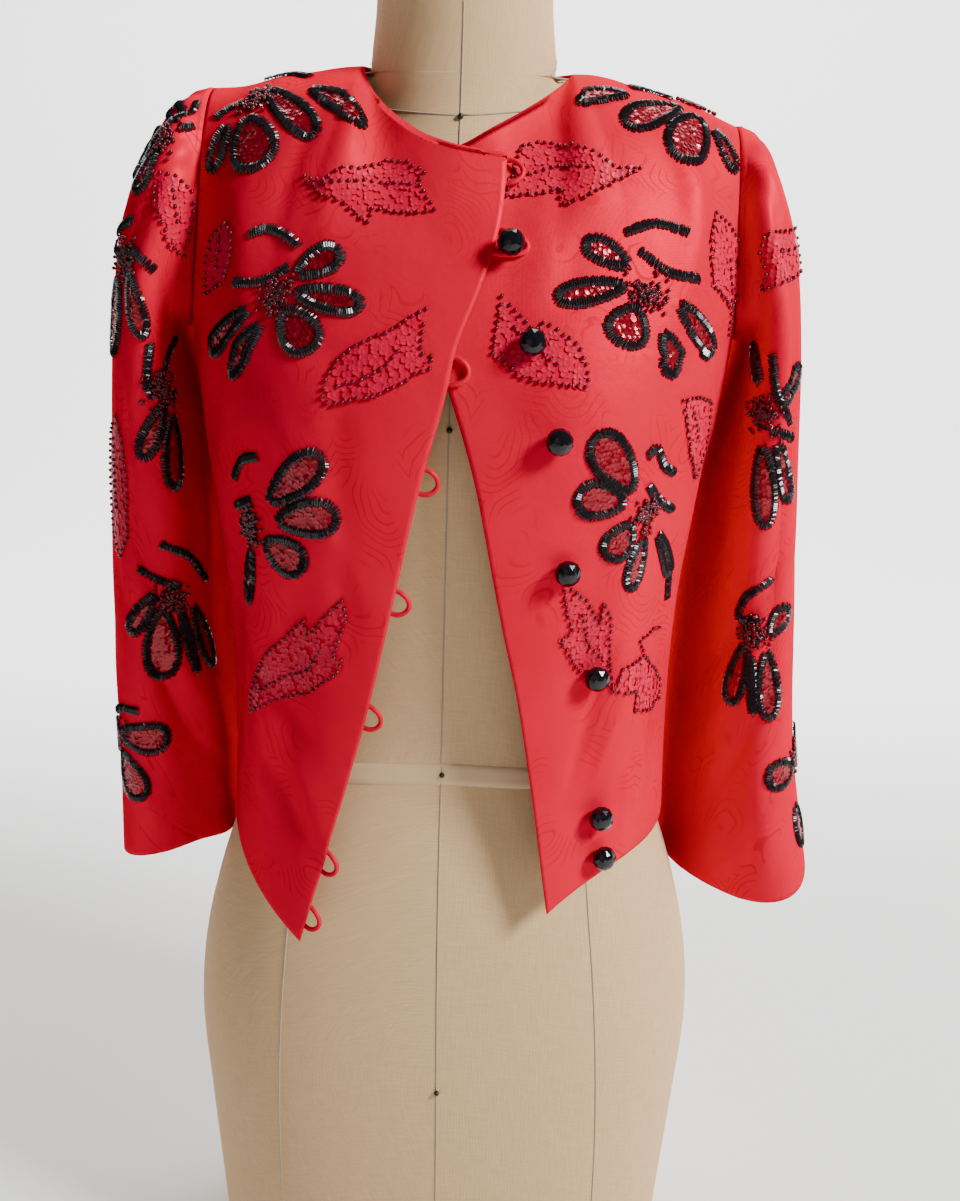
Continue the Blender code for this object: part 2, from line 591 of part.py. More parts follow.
def dress_form(linen, collection):
    """Torso of the form: rings up its section table, rounded out by the neck where that is deeper (both
    depths joined by their fourth powers), with a soft bust, closed flat below and above."""
    angle = np.arange(FORM_COLUMNS) / FORM_COLUMNS * 2 * np.pi
    knots = np.arange(len(FORM))
    height = curve(knots, FORM[:, 0], np.linspace(0, knots[-1], FORM_SPAN_ROWS * knots[-1] + 1))
    half_width, front, back = (curve(FORM[:, 0], FORM[:, column], height)[:, None] for column in (1, 2, 3))
    neck_width, neck_front, neck_back = (
        curve(FORM_NECK[:, 0], FORM_NECK[:, column], height)[:, None] for column in (1, 2, 3)
    )
    x = half_width * width_share(angle)[None]
    turned = depth_share(angle)[None]
    torso = np.where(turned > 0, -front, back) * np.abs(turned)
    neck = np.where(turned > 0, -neck_front, neck_back) * np.sqrt(np.clip(1 - (x / neck_width) ** 2, 0, 1))
    depth = (torso ** 4 + neck ** 4) ** 0.25
    y = -np.sign(turned) * depth
    level = height[:, None] * np.ones_like(x)
    beside = (np.abs(x) - BUST_X) / BUST_RADIUS
    above = (level - BUST_HEIGHT) / BUST_RADIUS
    y = y - FORM_BUST_RISE * np.exp(-beside ** 2 - above ** 2) * smooth_step(0.2, 0.6, turned)
    points = np.stack([x, y, level], axis=-1)
    count = FORM_COLUMNS
    faces = grid_faces(len(height), count, True, False).tolist()
    faces.append(list(range(count))[::-1])
    faces.append([(len(height) - 1) * count + column for column in range(count)])
    mesh = bpy.data.meshes.new("dress_form")
    mesh.from_pydata((points.reshape(-1, 3) * MM).tolist(), [], faces)
    mesh.materials.append(linen)
    form = bpy.data.objects.new("dress_form", mesh)
    collection.objects.link(form)
    mesh.shade_smooth()
    return form


def spot_on(points, x, height, turn):
    """Point and outward direction of a front's grid nearest to an x and a height."""
    normals = turn * outward(points, False)
    away = (points[..., 0] - x) ** 2 + (points[..., 2] - height) ** 2
    row, column = np.unravel_index(np.argmin(away), away.shape)
    normal = normals[row, column]
    flat = points[row, column]
    gap = np.array([x - flat[0], 0.0, height - flat[2]])
    gap[1] = -(normal[0] * gap[0] + normal[2] * gap[2]) / normal[1]
    return flat + gap, normal


def button(name, front, x, height, shank, glass, collection):
    """Faceted glass button turned from its half outline, on a shank that stands just clear of the cloth."""
    spot, normal = spot_on(front, x, height, 1.0)
    radius = np.concatenate([[SHANK_RADIUS, SHANK_RADIUS], BUTTON_PROFILE[:, 0] * BUTTON_RADIUS])
    level = np.concatenate([[0.0, shank], BUTTON_PROFILE[:, 1] + shank])
    turn = np.arange(BUTTON_SIDES) / BUTTON_SIDES * 2 * np.pi
    rings = np.stack([
        radius[:, None] * np.cos(turn), radius[:, None] * np.sin(turn), level[:, None] * np.ones_like(turn),
    ], axis=-1)
    faces = grid_faces(len(radius), BUTTON_SIDES, True, False).tolist()
    faces.append(list(range(BUTTON_SIDES))[::-1])
    faces.append([(len(radius) - 1) * BUTTON_SIDES + side for side in range(BUTTON_SIDES)])
    mesh = bpy.data.meshes.new(name)
    mesh.from_pydata((rings.reshape(-1, 3) * MM).tolist(), [], faces)
    mesh.materials.append(glass)
    piece = bpy.data.objects.new(name, mesh)
    collection.objects.link(piece)
    piece.rotation_mode = "QUATERNION"
    piece.rotation_quaternion = Vector((0, 0, 1)).rotation_difference(Vector(normal))
    piece.location = Vector(spot + normal * SEAM_GAP) * MM
    return piece


def loop(name, front, height, reach, cloth, collection):
    """Button loop: a cord bent in half an ellipse that stands off the free edge of the right front."""
    edge = front[:, 0]
    row = int(np.argmin(np.abs(edge[:, 2] - height)))
    row = min(max(row, 1), len(edge) - 2)
    share = (height - edge[row, 2]) / (edge[row + 1, 2] - edge[row, 2])
    spot = edge[row] + share * (edge[row + 1] - edge[row])
    up = unit(edge[row + 1] - edge[row - 1])
    away = unit(front[row, 0] - front[row, 1])
    away = unit(away - up * np.dot(away, up))
    normal = unit(np.cross(up, away))
    if normal[1] > 0:
        normal = -normal
    middle = spot - normal * LOOP_CORD_RISE + away * SEAM_GAP
    turn = np.linspace(0.0, np.pi, LOOP_STEPS)[:, None]
    points = middle + up * LOOP_HALF_LENGTH * np.cos(turn) + away * reach * np.sin(turn)
    line = bpy.data.curves.new(name, "CURVE")
    line.dimensions = "3D"
    line.bevel_depth = LOOP_CORD / 2 * MM
    line.bevel_resolution = 1
    line.use_fill_caps = True
    spline = line.splines.new("POLY")
    spline.points.add(len(points) - 1)
    for place, point in zip(spline.points, points):
        place.co = (*(point * MM), 1.0)
    line.materials.append(cloth)
    piece = bpy.data.objects.new(name, line)
    collection.objects.link(piece)
    return piece


def build():
    parts = scene_collections()
    silk = material("red silk", SILK_RED, 0.42)
    linen = material("form linen", FORM_LINEN, 0.85)
    glass = material("black glass", BUTTON_BLACK, 0.12)
    dress_form(linen, parts)

    columns = (FRONT_NECK_COLUMNS, FRONT_SHOULDER_COLUMNS)
    rows = (FRONT_LOWER_ROWS, FRONT_UPPER_ROWS)
    right_shape = (-1, RIGHT_FRONT_LEVELS, RIGHT_FRONT_EDGE, RIGHT_HEM_BOW, RIGHT_NECKLINE, RIGHT_SHOULDER)
    left_shape = (1, LEFT_FRONT_LEVELS, LEFT_FRONT_EDGE, LEFT_HEM_BOW, LEFT_NECKLINE, LEFT_SHOULDER)
    right = front_surface(right_shape, *rows, columns)
    right = fold(right, FOLDS["right_front"], ("outer", "top"), turn=-1.0)
    wall("right_front", right, False, True, silk, parts)
    left = tuck_under(front_surface(left_shape, *rows, columns))
    left = fold(left, FOLDS["left_front"], ("outer", "top"))
    wall("left_front", left, False, False, silk, parts)
    columns = (BACK_NECK_COLUMNS, BACK_SHOULDER_COLUMNS)
    back = back_surface(BACK_LOWER_ROWS, BACK_UPPER_ROWS, columns)
    back = fold(back, FOLDS["back"], ("outer", "inner", "top"), turn=-1.0)
    wall("back", back, False, True, silk, parts)

    sleeve = sleeve_surface(-1, RIGHT_SLEEVE, armhole_edges(right_shape), SLEEVE_ROWS, SLEEVE_COLUMNS)
    sleeve = gather(sleeve, *RIGHT_GATHERS, -1.0)
    sleeve = fold(sleeve, FOLDS["right_sleeve"], ("start",), closed=True, turn=-1.0)
    wall("right_sleeve", sleeve, True, False, silk, parts)
    sleeve = sleeve_surface(1, LEFT_SLEEVE, armhole_edges(left_shape), SLEEVE_ROWS, SLEEVE_COLUMNS)
    sleeve = gather(sleeve, *LEFT_GATHERS, 1.0)
    sleeve = fold(sleeve, FOLDS["left_sleeve"], ("start",), closed=True)
    wall("left_sleeve", sleeve, True, True, silk, parts)

    for number, (x, height, shank) in enumerate(BUTTONS, start=1):
        button(f"button_{number}", left, x, height, shank, glass, parts)
    for number, (height, reach) in enumerate(LOOPS, start=1):
        loop(f"loop_{number}", right, height, reach, silk, parts)


build()
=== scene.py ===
"""A cropped matador jacket in beaded red silk, worn on a limbless dress form covered in linen.

The looks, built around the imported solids. Tables are in millimetres, turned into metres where a mesh is
made. The form stands at the origin, its front faces -Y, and the wearer's left is +X.
"""
import math

import bpy
import numpy as np
from mathutils import Matrix, Vector


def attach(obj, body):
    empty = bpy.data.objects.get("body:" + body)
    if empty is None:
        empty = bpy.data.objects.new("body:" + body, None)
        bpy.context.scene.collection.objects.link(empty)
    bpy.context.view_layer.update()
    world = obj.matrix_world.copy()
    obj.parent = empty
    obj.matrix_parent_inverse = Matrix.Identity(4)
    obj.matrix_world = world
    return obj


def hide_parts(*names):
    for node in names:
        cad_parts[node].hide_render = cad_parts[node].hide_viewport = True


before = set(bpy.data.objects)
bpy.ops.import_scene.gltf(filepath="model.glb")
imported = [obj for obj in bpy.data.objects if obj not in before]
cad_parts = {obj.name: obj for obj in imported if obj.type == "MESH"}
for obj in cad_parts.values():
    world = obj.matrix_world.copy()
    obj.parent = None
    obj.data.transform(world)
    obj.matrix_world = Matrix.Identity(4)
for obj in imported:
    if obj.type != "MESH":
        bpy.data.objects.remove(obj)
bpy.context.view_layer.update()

# Sizes in millimetres, turned into metres where a mesh is made
MM = 0.001
CLOTH_WALL = 2.0
SEAM_GAP = 0.3
ARMHOLE_GAP = 0.5
SEAM_STRIP = 3.0
OVERLAP_STEP = 3.0
SECTION_SQUARE = 0.03
# For the angle of a width share: the steepest share to start from, and Newton's steps
STEEPEST_SHARE = 0.97
NEWTON_STEPS = 6
SHOULDER_SEAM_Y = 4.0
BUST_X = 80.0
BUST_HEIGHT = 604.0
BUST_RADIUS = 46.0
JACKET_BUST_RISE = 5.0
FORM_BUST_RISE = 12.0
FORM_BUST_FACING = (0.2, 0.6)
BUTTON_RADIUS = 7.5
SHANK_RADIUS = 1.9
LOOP_HALF_LENGTH = 7.0
LOOP_REACH = 9.0
FASTENED_REACH = 17.0

# How the cloth runs up from the chest to the top edges: share of the way for each Bezier handle, share of
# the chest rows from which the climb is taken, where along the top edge it turns from the neckline's rise to
# lying flat over the shoulder, and the way it runs into each neckline
CLIMB_HANDLE = 0.38
ARRIVAL_HANDLE = 0.40
CLIMB_FROM = 0.985
FRONT_TURN_OVER = (0.25, 0.50)
BACK_TURN_OVER = (0.08, 0.18)
FRONT_NECK_ARRIVAL = np.array([0.0, 0.50, 0.86])
BACK_NECK_ARRIVAL = np.array([0.0, -0.30, 0.95])
# Where the left front tucks under the right one: x and height over which the step fades
TUCK_X = (26.0, 52.0)
TUCK_HEIGHT = (596.0, 626.0)
# Armholes and sleeves: row of the level tables at the underarm, steps of the armhole's curves below and
# above the chest and beside it, how the sleeve's rings bunch at the armhole, and the share of its length
# that the seam holds
UNDERARM_ROW = 4
ARMHOLE_STEPS = (120, 40)
ARMHOLE_COLUMNS = (6, 6)
SLEEVE_BUNCHING = 1.25
SLEEVE_HELD = 0.10
# Fades in millimetres: of a fold beyond its ends, at pinned seams, below the sleeve seam, and of gathers
FOLD_FADE = 30.0
SEAM_FADE = (0.0, 24.0)
SLEEVE_FOLD_FADE = (4.0, 30.0)
GATHER_START = (3.0, 12.0)
GATHER_FULL_SHARE = 0.4
GATHER_SPREAD = 0.7


# The jacket's body, section by section: height, centre x, half width, depth in front, depth behind
BODY = np.array([
    (290, 0.5, 142, 128, 112),
    (350, 0.5, 141, 124, 110),
    (400, 0.5, 139.5, 121, 107),
    (450, 0.5, 139.5, 121.5, 106),
    (500, 0.5, 142, 123, 107),
    (550, 1, 148, 125.5, 109),
    (608, 2, 156.5, 126.5, 112),
    (650, 3, 161, 119.5, 113),
    (700, 4.5, 164, 101, 111),
    (750, 4.5, 165, 74, 99),
])

# The dress form, section by section: height, half width, y of its front, y of its back
FORM = np.array([
    (0, 154, -103, 118),
    (60, 158.5, -107, 123),
    (130, 164, -111, 129),
    (200, 168, -113, 131),
    (240, 164.5, -112, 128),
    (300, 150.5, -107, 118),
    (350, 134, -98, 104),
    (400, 122, -90, 92),
    (450, 124.5, -93, 92),
    (500, 131, -100, 96),
    (550, 138, -107, 100),
    (608, 145, -111, 103),
    (650, 148, -105, 102),
    (700, 149, -86, 94),
    (728, 147, -70, 80),
    (745, 141, -56, 66),
    (757, 131, -43, 52),
    (768, 121, -32, 40),
    (777, 112, -24, 31),
    (785, 100, -15, 22),
    (791.2, 87, -10, 16),
    (793.7, 74, -5, 13),
    (794.2, 63, -2.5, 11),
    (794.6, 55, -2, 10),
    (800, 53.4, -2, 9),
    (810, 52.3, -2, 9),
    (832, 50, -10, 12),
    (856, 49.5, -10, 12),
])
# The form's neck, which runs down into the chest: height, half width, y of its front, y of its back
FORM_NECK = np.array([
    (560, 64, -2, 2),
    (640, 62, -40, 42),
    (700, 60, -62, 68),
    (745, 56, -59, 62),
    (772, 53.4, -51, 55),
    (798, 52.8, -47.5, 51.5),
    (832, 50, -48.5, 50),
    (856, 49.5, -50, 50),
])

# Each front from the hem up to the chest: height at its free edge, height and angle at its outer edge
UPPER_FRONT_LEVELS = (
    (500, 505, 90), (580, 585, 90), (640, 650, 90), (655, 655.5, 80), (672, 668, 72), (692, 700, 66.5),
)
RIGHT_FRONT_LEVELS = np.array([(292, 347, 90), (400, 410, 90), *UPPER_FRONT_LEVELS])
LEFT_FRONT_LEVELS = np.array([(320, 349, 90), (408, 412, 90), *UPPER_FRONT_LEVELS])
BACK_LEVELS = np.array([
    (352, 348, 90), (412, 411, 90), (505, 505, 90), (585, 585, 90), (648, 650, 90), (656, 655.5, 80),
    (672, 668, 73), (700, 700, 68),
])

# How soon each front's rows rise from the free edge to the side seam's level
RIGHT_HEM_BOW = 1.5
LEFT_HEM_BOW = 5.0

# The free edge of each front: height, x
RIGHT_FRONT_EDGE = np.array([
    (292, -87), (350, -71), (443, -46), (514, -30.5), (584, -15.5), (634, -2.5), (654, 1.5), (684, 13),
    (698, 18),
])
LEFT_FRONT_EDGE = np.array([
    (320, 62.5), (408, 48.8), (460, 39.5), (497, 31), (526, 24.8), (555, 19), (583, 13), (606, 6.5),
    (632, -2.5), (660, -12), (700, -15),
])

# The shoulder seams from the neck out to the arm: x, height
RIGHT_SHOULDER = np.array([(-57.5, 799), (-69, 798), (-85, 795.3), (-101, 793), (-129, 786), (-143.5, 785)])
LEFT_SHOULDER = np.array([
    (62.5, 797.5), (73, 797.5), (85, 795.5), (101.5, 790.5), (130.5, 783), (158.5, 771.5),
])

# The necklines, from the free edge or the centre back round to the neck point: x, y, height
RIGHT_NECKLINE = np.array([
    (25.5, -72, 753), (-6.5, -70, 758), (-19, -65, 762), (-34.5, -53, 771), (-46.5, -37.5, 781),
    (-55, -14.5, 793), (-57.5, 4, 799),
])
LEFT_NECKLINE = np.array([
    (-16.5, -70, 751), (1.5, -70, 757), (15.5, -65, 765), (31.5, -54, 774), (47.5, -38, 784),
    (58.5, -16, 792.5), (62.5, 4, 797.5),
])
BACK_NECKLINE = np.array([
    (-57.5, 4, 799), (-52, 28, 799), (-32, 49, 797), (3, 58, 795), (37, 49, 796), (57, 28, 798),
    (62.5, 4, 797.5),
])

# The sleeves, ring by ring from the armhole to the hem: share of the length, then x, y and height of the
# ring's outer, front, inner and back points
SLEEVES = {
    "right": np.array([
        (0, -143.5, 4, 785, -150, -44, 700, -158.5, 0, 650, -150, 48, 700),
        (0.03, -158, 4, 774.5, -160, -53, 707, -163, 0, 649, -160, 58, 706),
        (0.07, -174, 5, 758, -170, -58, 700, -167, 2, 645, -170, 66, 698),
        (0.12, -187, 8, 738, -177, -60, 685, -165, 10, 636, -177, 71, 684),
        (0.18, -196, 12, 710, -182, -58, 661, -161.5, 20, 619, -182, 75, 660),
        (0.27, -202.5, 16, 667, -185, -54, 625, -156, 32, 590, -184, 79, 624),
        (0.42, -210, 20, 592, -187, -48, 555, -151, 40, 528, -186, 84, 558),
        (0.58, -215.5, 21, 512, -188, -41, 480, -147.5, 44, 458, -186, 88, 484),
        (0.76, -216, 21, 417, -190, -33, 400, -146, 46, 388, -184, 91, 402),
        (1, -218.5, 18, 300, -193, -21, 303, -148, 48, 306, -183, 93, 305),
    ]),
    "left": np.array([
        (0, 158.5, 4, 771.5, 158, -44, 700, 164, 0, 650, 160, 48, 700),
        (0.03, 168, 4, 763.5, 168, -52, 706, 169, 0, 648, 168, 58, 704),
        (0.07, 181, 5, 746, 176, -56, 697, 173, 2, 643, 177, 65, 696),
        (0.12, 190.5, 8, 726, 182, -57, 680, 171.5, 10, 634, 184, 70, 682),
        (0.18, 196.5, 12, 700, 186, -56, 656, 167.5, 20, 616, 188, 74, 658),
        (0.27, 201.5, 16, 663, 189, -53, 620, 161, 32, 586, 190, 78, 620),
        (0.42, 209, 20, 588, 191, -47, 548, 154.5, 40, 522, 193, 83, 552),
        (0.58, 216, 22, 505, 194, -42, 468, 150, 44, 448, 195, 87, 474),
        (0.76, 223, 26, 408, 202, -37, 380, 148.5, 46, 366, 200, 91, 384),
        (1, 241, 32, 308, 217, -31, 284, 152, 48, 287, 204, 94, 300),
    ]),
}

# Each front: side, levels, free edge, how soon its rows rise, neckline, shoulder seam
FRONT_SHAPES = {
    "right": (-1, RIGHT_FRONT_LEVELS, RIGHT_FRONT_EDGE, RIGHT_HEM_BOW, RIGHT_NECKLINE, RIGHT_SHOULDER),
    "left": (1, LEFT_FRONT_LEVELS, LEFT_FRONT_EDGE, LEFT_HEM_BOW, LEFT_NECKLINE, LEFT_SHOULDER),
}

# Buttons on the left front: x, height, length of the shank (the fastened one stands up through its loop)
BUTTONS = (
    (29, 704, 5), (41.5, 657, 1.2), (56.5, 608, 1.2), (63.5, 535, 1.2), (83.5, 469, 1.2), (90.5, 379, 1.2),
    (92.5, 353, 1.2),
)
# Half outline of a button's glass: share of its radius, height above the shank in millimetres
BUTTON_PROFILE = np.array([(0.62, 0.6), (0.94, 3.6), (1.0, 6.0), (0.86, 8.8), (0.52, 10.8), (0.2, 11.4)])
# Loops on the right front: height on the free edge, reach
LOOPS = (
    (744, LOOP_REACH), (709, FASTENED_REACH), (643, LOOP_REACH), (584, LOOP_REACH), (514, LOOP_REACH),
    (443, LOOP_REACH), (347, LOOP_REACH), (309, LOOP_REACH),
)

# How fine each surface is made here: steps across and up
FRONT_GRID = ((46, 46), (110, 42))
BACK_GRID = ((40, 34), (96, 44))
SLEEVE_GRID = (150, 128)
FORM_GRID = (144, 4)
# Wall of the shells that show, in place of the solids' cloth wall
SHELL_WALL = 0.9

# Folds: piece, start and end as millimetres across and up the piece, half width, height outward
FOLDS = {
    "right_front": (
        (60, 60, 84, 250, 16, 3.5), (108, 30, 118, 200, 13, -3), (28, 30, 62, 190, 14, -2.5),
        (120, 320, 150, 420, 12, 2.5), (20, 190, 58, 330, 9, -1.2), (44, 330, 96, 360, 10, -1),
        (150, 250, 132, 330, 8, -1), (3, 54, 75, 92, 9, -2.2), (12, 82, 88, 130, 10, 2),
        (30, 120, 110, 150, 8, -1.4), (118, 395, 128, 470, 7, -1.8), (92, 400, 104, 470, 8, 1.5),
        (188, 230, 178, 340, 9, -2.2), (24, 230, 90, 300, 9, 1.4),
    ),
    "left_front": (
        (52, 40, 86, 240, 15, 3), (96, 30, 120, 190, 13, -3), (30, 30, 44, 160, 13, -2),
        (140, 330, 160, 430, 12, 2), (60, 20, 70, 110, 6, 1.4), (74, 20, 82, 120, 6, -1.2),
        (40, 290, 84, 380, 10, -1), (25, 68, 62, 140, 4.5, -1.7), (44, 70, 65, 108, 4, 1.4),
        (66, 68, 90, 115, 4.5, -1.6), (84, 64, 108, 128, 5.5, 1.4), (70, 395, 85, 470, 8, -1.6),
        (150, 380, 155, 450, 9, 1.6), (176, 200, 182, 300, 9, -2),
    ),
    "back": (
        (90, 20, 110, 230, 16, 3), (160, 10, 165, 190, 15, -3), (232, 10, 226, 200, 15, -3),
        (310, 20, 288, 230, 16, 3), (120, 300, 170, 330, 12, -1.2), (250, 310, 300, 290, 12, -1.2),
        (60, 90, 130, 120, 9, -1.8), (300, 118, 370, 84, 9, -1.8), (196, 330, 204, 420, 9, 1.5),
        (110, 360, 126, 440, 8, -1.6), (292, 360, 276, 440, 8, -1.6),
    ),
    "right_sleeve": (
        (78, 20, 92, 330, 12, -3), (118, 60, 112, 400, 14, 4), (262, 60, 250, 380, 15, 4),
        (52, 14, 58, 90, 6, 1.4), (66, 14, 74, 80, 5, -1.2), (40, 220, 70, 300, 9, -1),
        (148, 130, 98, 420, 10, 3.5), (174, 130, 130, 420, 12, -3), (84, 236, 134, 268, 7, -1.8),
        (86, 262, 138, 306, 8, 1.5), (80, 290, 128, 346, 8, -1.6), (30, 340, 62, 420, 9, 1.2),
        (230, 240, 300, 262, 9, -1.8), (236, 300, 296, 330, 9, 1.5),
    ),
    "left_sleeve": (
        (70, 20, 88, 330, 12, -3.5), (116, 60, 122, 400, 15, 4), (262, 60, 254, 380, 15, 4),
        (50, 14, 56, 80, 6, 1.2), (40, 240, 66, 320, 9, -1), (104, 120, 82, 410, 9, 4),
        (144, 120, 120, 410, 19, -4), (82, 226, 138, 252, 8, -1.8), (84, 258, 136, 300, 8, 1.5),
        (78, 300, 126, 350, 9, -1.6), (232, 236, 300, 260, 9, -1.8), (238, 300, 298, 326, 9, 1.5),
    ),
}
# Gathers in each sleeve head: how many, their height, how far they run down from the seam
GATHERS = {"right": (9, 1.6, 46.0), "left": (7, 1.0, 34.0)}


# Beadwork: bands of crosswise strands, sequins that fill the petals, round seed beads, heaps in the middles
STRAND_STEP = 1.3
STRAND_SPAN = 6.0
STRAND_RADIUS = 0.68
STRAND_RISE = 1.1
STRAND_LEAN = 0.2
STRAND_SIDES = 5
STRAND_UNEVEN = (0.88, 1.1)
STRAND_SHARES = (0.0, 0.28, 0.72, 1.0)
STRAND_TAPER = (0.55, 1.0, 1.0, 0.55)
STRAND_SEAT = 0.7
SEQUIN_RADIUS = 1.9
SEQUIN_STEP = 3.1
SEQUIN_SIDES = 8
SEQUIN_UNEVEN = (0.85, 1.05)
SEQUIN_HEIGHTS = (0.75, 0.55, 0.35)
SEQUIN_ROWS = 6
SEQUIN_PACKING = (0.9, 0.85)
SEQUIN_SHAKE = 0.3
PETAL_PEAK = 0.79
SEED_RADIUS = 1.25
SEED_SIDES = 6
SEED_SHARES = (-0.72, 0.0, 0.72)
SEED_TAPER = (0.6, 1.0, 0.6)
SEED_SEAT = 0.9
LEAF_SEED_STEP = 4.2
HEAP_STRANDS = 34
HEAP_SEEDS = 84
HEAP_SPREAD = 5.6
HEAP_REACH = 12.0
HEAP_STRAND_SPREAD = HEAP_SPREAD * 0.7
HEAP_STRAND_SPAN = STRAND_SPAN * 0.6
# Number that the first piece's random draws start from
FIRST_SEED = 3
PETAL_SEQUIN_LEAN = 0.12
LEAF_SEQUIN_LEAN = 0.05
LEAF_SEQUIN_STEP = 2.8
LEAF_SEQUIN_SHAKE = 0.5
LEAF_SEED_SHAKE = 0.25
# How finely places are walked to on a piece, paths followed and petals outlined, and how many grid steps
# beside a piece's edge stay bare
WALK_STEPS = 14
PATH_STEPS = 25
WAY_SHARE = 0.01
OUTLINE_STEPS = 72
PANEL_RIM = 0.4
# Kept off a grid's last row, and the least length that is divided by
INSIDE = 0.001
TINY = 1e-9
# Added to the square of a distance, so that no point behind is the nearest
FAR_BEHIND = 1e6

# Flowers: each petal gives its root across and up from the flower's centre, its tip across and up, and its
# width. Each stroke is a run of places across and up.
FLOWERS = {
    "right_shoulder": (
        ((2, 9, 50, -18, 20), (1, -13, 25, -45, 32), (-9, -18, -10, -50, 15), (28, 14, 73, 4, 18)),
        (((-13, 26), (0, 32), (20, 27)), ((-7, -3), (-14, -9), (-19, -17))),
    ),
    "right_chest": (
        (
            (8, 12, 34, 29, 20), (8, 3, 50, -1, 18), (3, -5, 25, -29, 27), (-7, -14, -32, -46, 15),
            (-15, -7, -54, -33, 16),
        ),
        (((-22, 33), (-12, 37), (-1, 34), (9, 28)), ((-29, 6), (-10, 8), (5, 17))),
    ),
    "right_waist": (
        ((16, 16, 55, 47, 23), (20, 6, 61, 13, 25), (11, -5, 37, -22, 26), (-1, -12, -14, -51, 14)),
        (((-13, 26), (-2, 38), (12, 42)), ((-15, 9), (3, 16))),
    ),
    "left_shoulder": (
        ((-23, 9, -64, 38, 22), (-25, -2, -70, 1, 30), (-29, -12, -48, -36, 15), (-36, 39, -53, 70, 17)),
        (((-22, 40), (-9, 27), (-14, 14)),),
    ),
    "left_chest": (
        (
            (-8, 14, -34, 32, 18), (-11, 5, -53, 0, 17), (-6, -5, -20, -29, 28), (7, -19, 18, -46, 18),
            (17, -4, 50, -35, 19),
        ),
        (((-10, 34), (8, 39), (28, 34)), ((-3, 24), (13, 12), (34, 8))),
    ),
    "left_waist": (
        (
            (-12, 14, -40, 47, 27), (-15, 8, -48, 11, 25), (-10, -2, -22, -27, 23), (1, -12, -4, -47, 18),
            (13, -13, 45, -48, 13),
        ),
        (((-5, 33), (0, 37), (10, 26), (20, 21)), ((-2, 17), (9, 7), (26, -2)), ((43, -48), (47, -64))),
    ),
    "sleeve_head": (
        ((-6, 6, -34, 2, 16), (-4, -2, -27, -20, 18), (2, -6, -6, -35, 17), (6, 8, -16, 26, 15)),
        (((-4, 12), (4, 22), (-2, 33)), ((8, 8), (15, 15)), ((-20, -55), (-1, -48))),
    ),
    "sleeve_upper": (
        ((-6, -8, -16, -56, 18), (6, -3, 14, -45, 17)),
        (((-4, 5), (8, 5), (24, -4)), ((-10, 4), (-24, 10))),
    ),
    "sleeve_middle": (
        ((2, -6, -12, -42, 16), (8, -13, 10, -62, 19)),
        (((-8, 29), (-9, 14), (-8, -1)), ((21, 29), (5, 17), (-4, 1))),
    ),
    "sleeve_lower": (
        ((-9, 5, -27, -24, 15), (-5, -5, -8, -57, 27), (6, -4, 16, -57, 9), (15, -6, 31, -57, 15)),
        (((-5, 37), (16, 24), (30, 5)), ((-20, 20), (7, 7))),
    ),
    "sleeve_cuff": (
        ((4, 2, 41, -2, 25), (5, -10, 15, -47, 27), (-5, 0, -30, -20, 20)),
        (((-6, 13), (8, 19), (23, 20)),),
    ),
    "left_sleeve_upper": (
        ((-2, 16, -18, 42, 13), (1, -16, 7, -69, 19), (9, -14, 25, -54, 16), (8, 6, 32, 26, 15)),
        (((4, 36), (9, 9), (20, -6)), ((5, -8), (24, -14))),
    ),
    "left_sleeve_lower": (
        ((-4, -6, -15, -54, 18), (-1, -13, 4, -58, 9), (9, -10, 16, -60, 20), (9, -3, 23, 18, 17)),
        (((9, 36), (-7, 22), (-11, 7), (3, 10)),),
    ),
    "left_sleeve_cuff": (
        ((-6, -4, -34, -7, 24), (-6, -32, 8, -68, 19), (6, 0, 34, -12, 20)), (((-4, 10), (10, 18)),),
    ),
}
# Where the flowers of each piece lie: x, y and height of the centre, flower, and -1 where it is turned over
PLACED_FLOWERS = {
    "right_front": (
        ((-115, -31, 778), "right_shoulder", 1), ((-96, -96, 677), "right_chest", 1),
        ((-112, -96, 548), "right_waist", 1),
    ),
    "left_front": (
        ((135, 1, 782), "left_shoulder", 1), ((104, -94, 682), "left_chest", 1),
        ((109, -103, 564), "left_waist", 1),
    ),
    "back": (
        ((-96, 100, 690), "left_chest", 1), ((98, 100, 690), "right_chest", 1),
        ((4, 112, 628), "left_waist", 1), ((-88, 100, 520), "right_waist", -1),
        ((92, 100, 515), "right_waist", 1), ((0, 107, 452), "left_chest", -1),
    ),
    "right_sleeve": (
        ((-167, -41, 756), "sleeve_head", 1), ((-187, -52, 691), "sleeve_upper", 1),
        ((-170, -48, 616), "sleeve_middle", 1), ((-173, -36, 485), "sleeve_lower", 1),
        ((-212, -23, 390), "sleeve_cuff", 1), ((-205, 50, 640), "right_chest", -1),
        ((-205, 62, 520), "sleeve_lower", -1), ((-205, 66, 400), "sleeve_cuff", -1),
    ),
    "left_sleeve": (
        ((180, -51, 613), "left_sleeve_upper", 1), ((188, -41, 475), "left_sleeve_lower", 1),
        ((224, -21, 384), "left_sleeve_cuff", 1), ((190, 40, 730), "sleeve_head", -1),
        ((205, 55, 625), "left_chest", -1), ((214, 66, 500), "left_sleeve_lower", -1),
        ((222, 74, 385), "sleeve_cuff", 1),
    ),
}

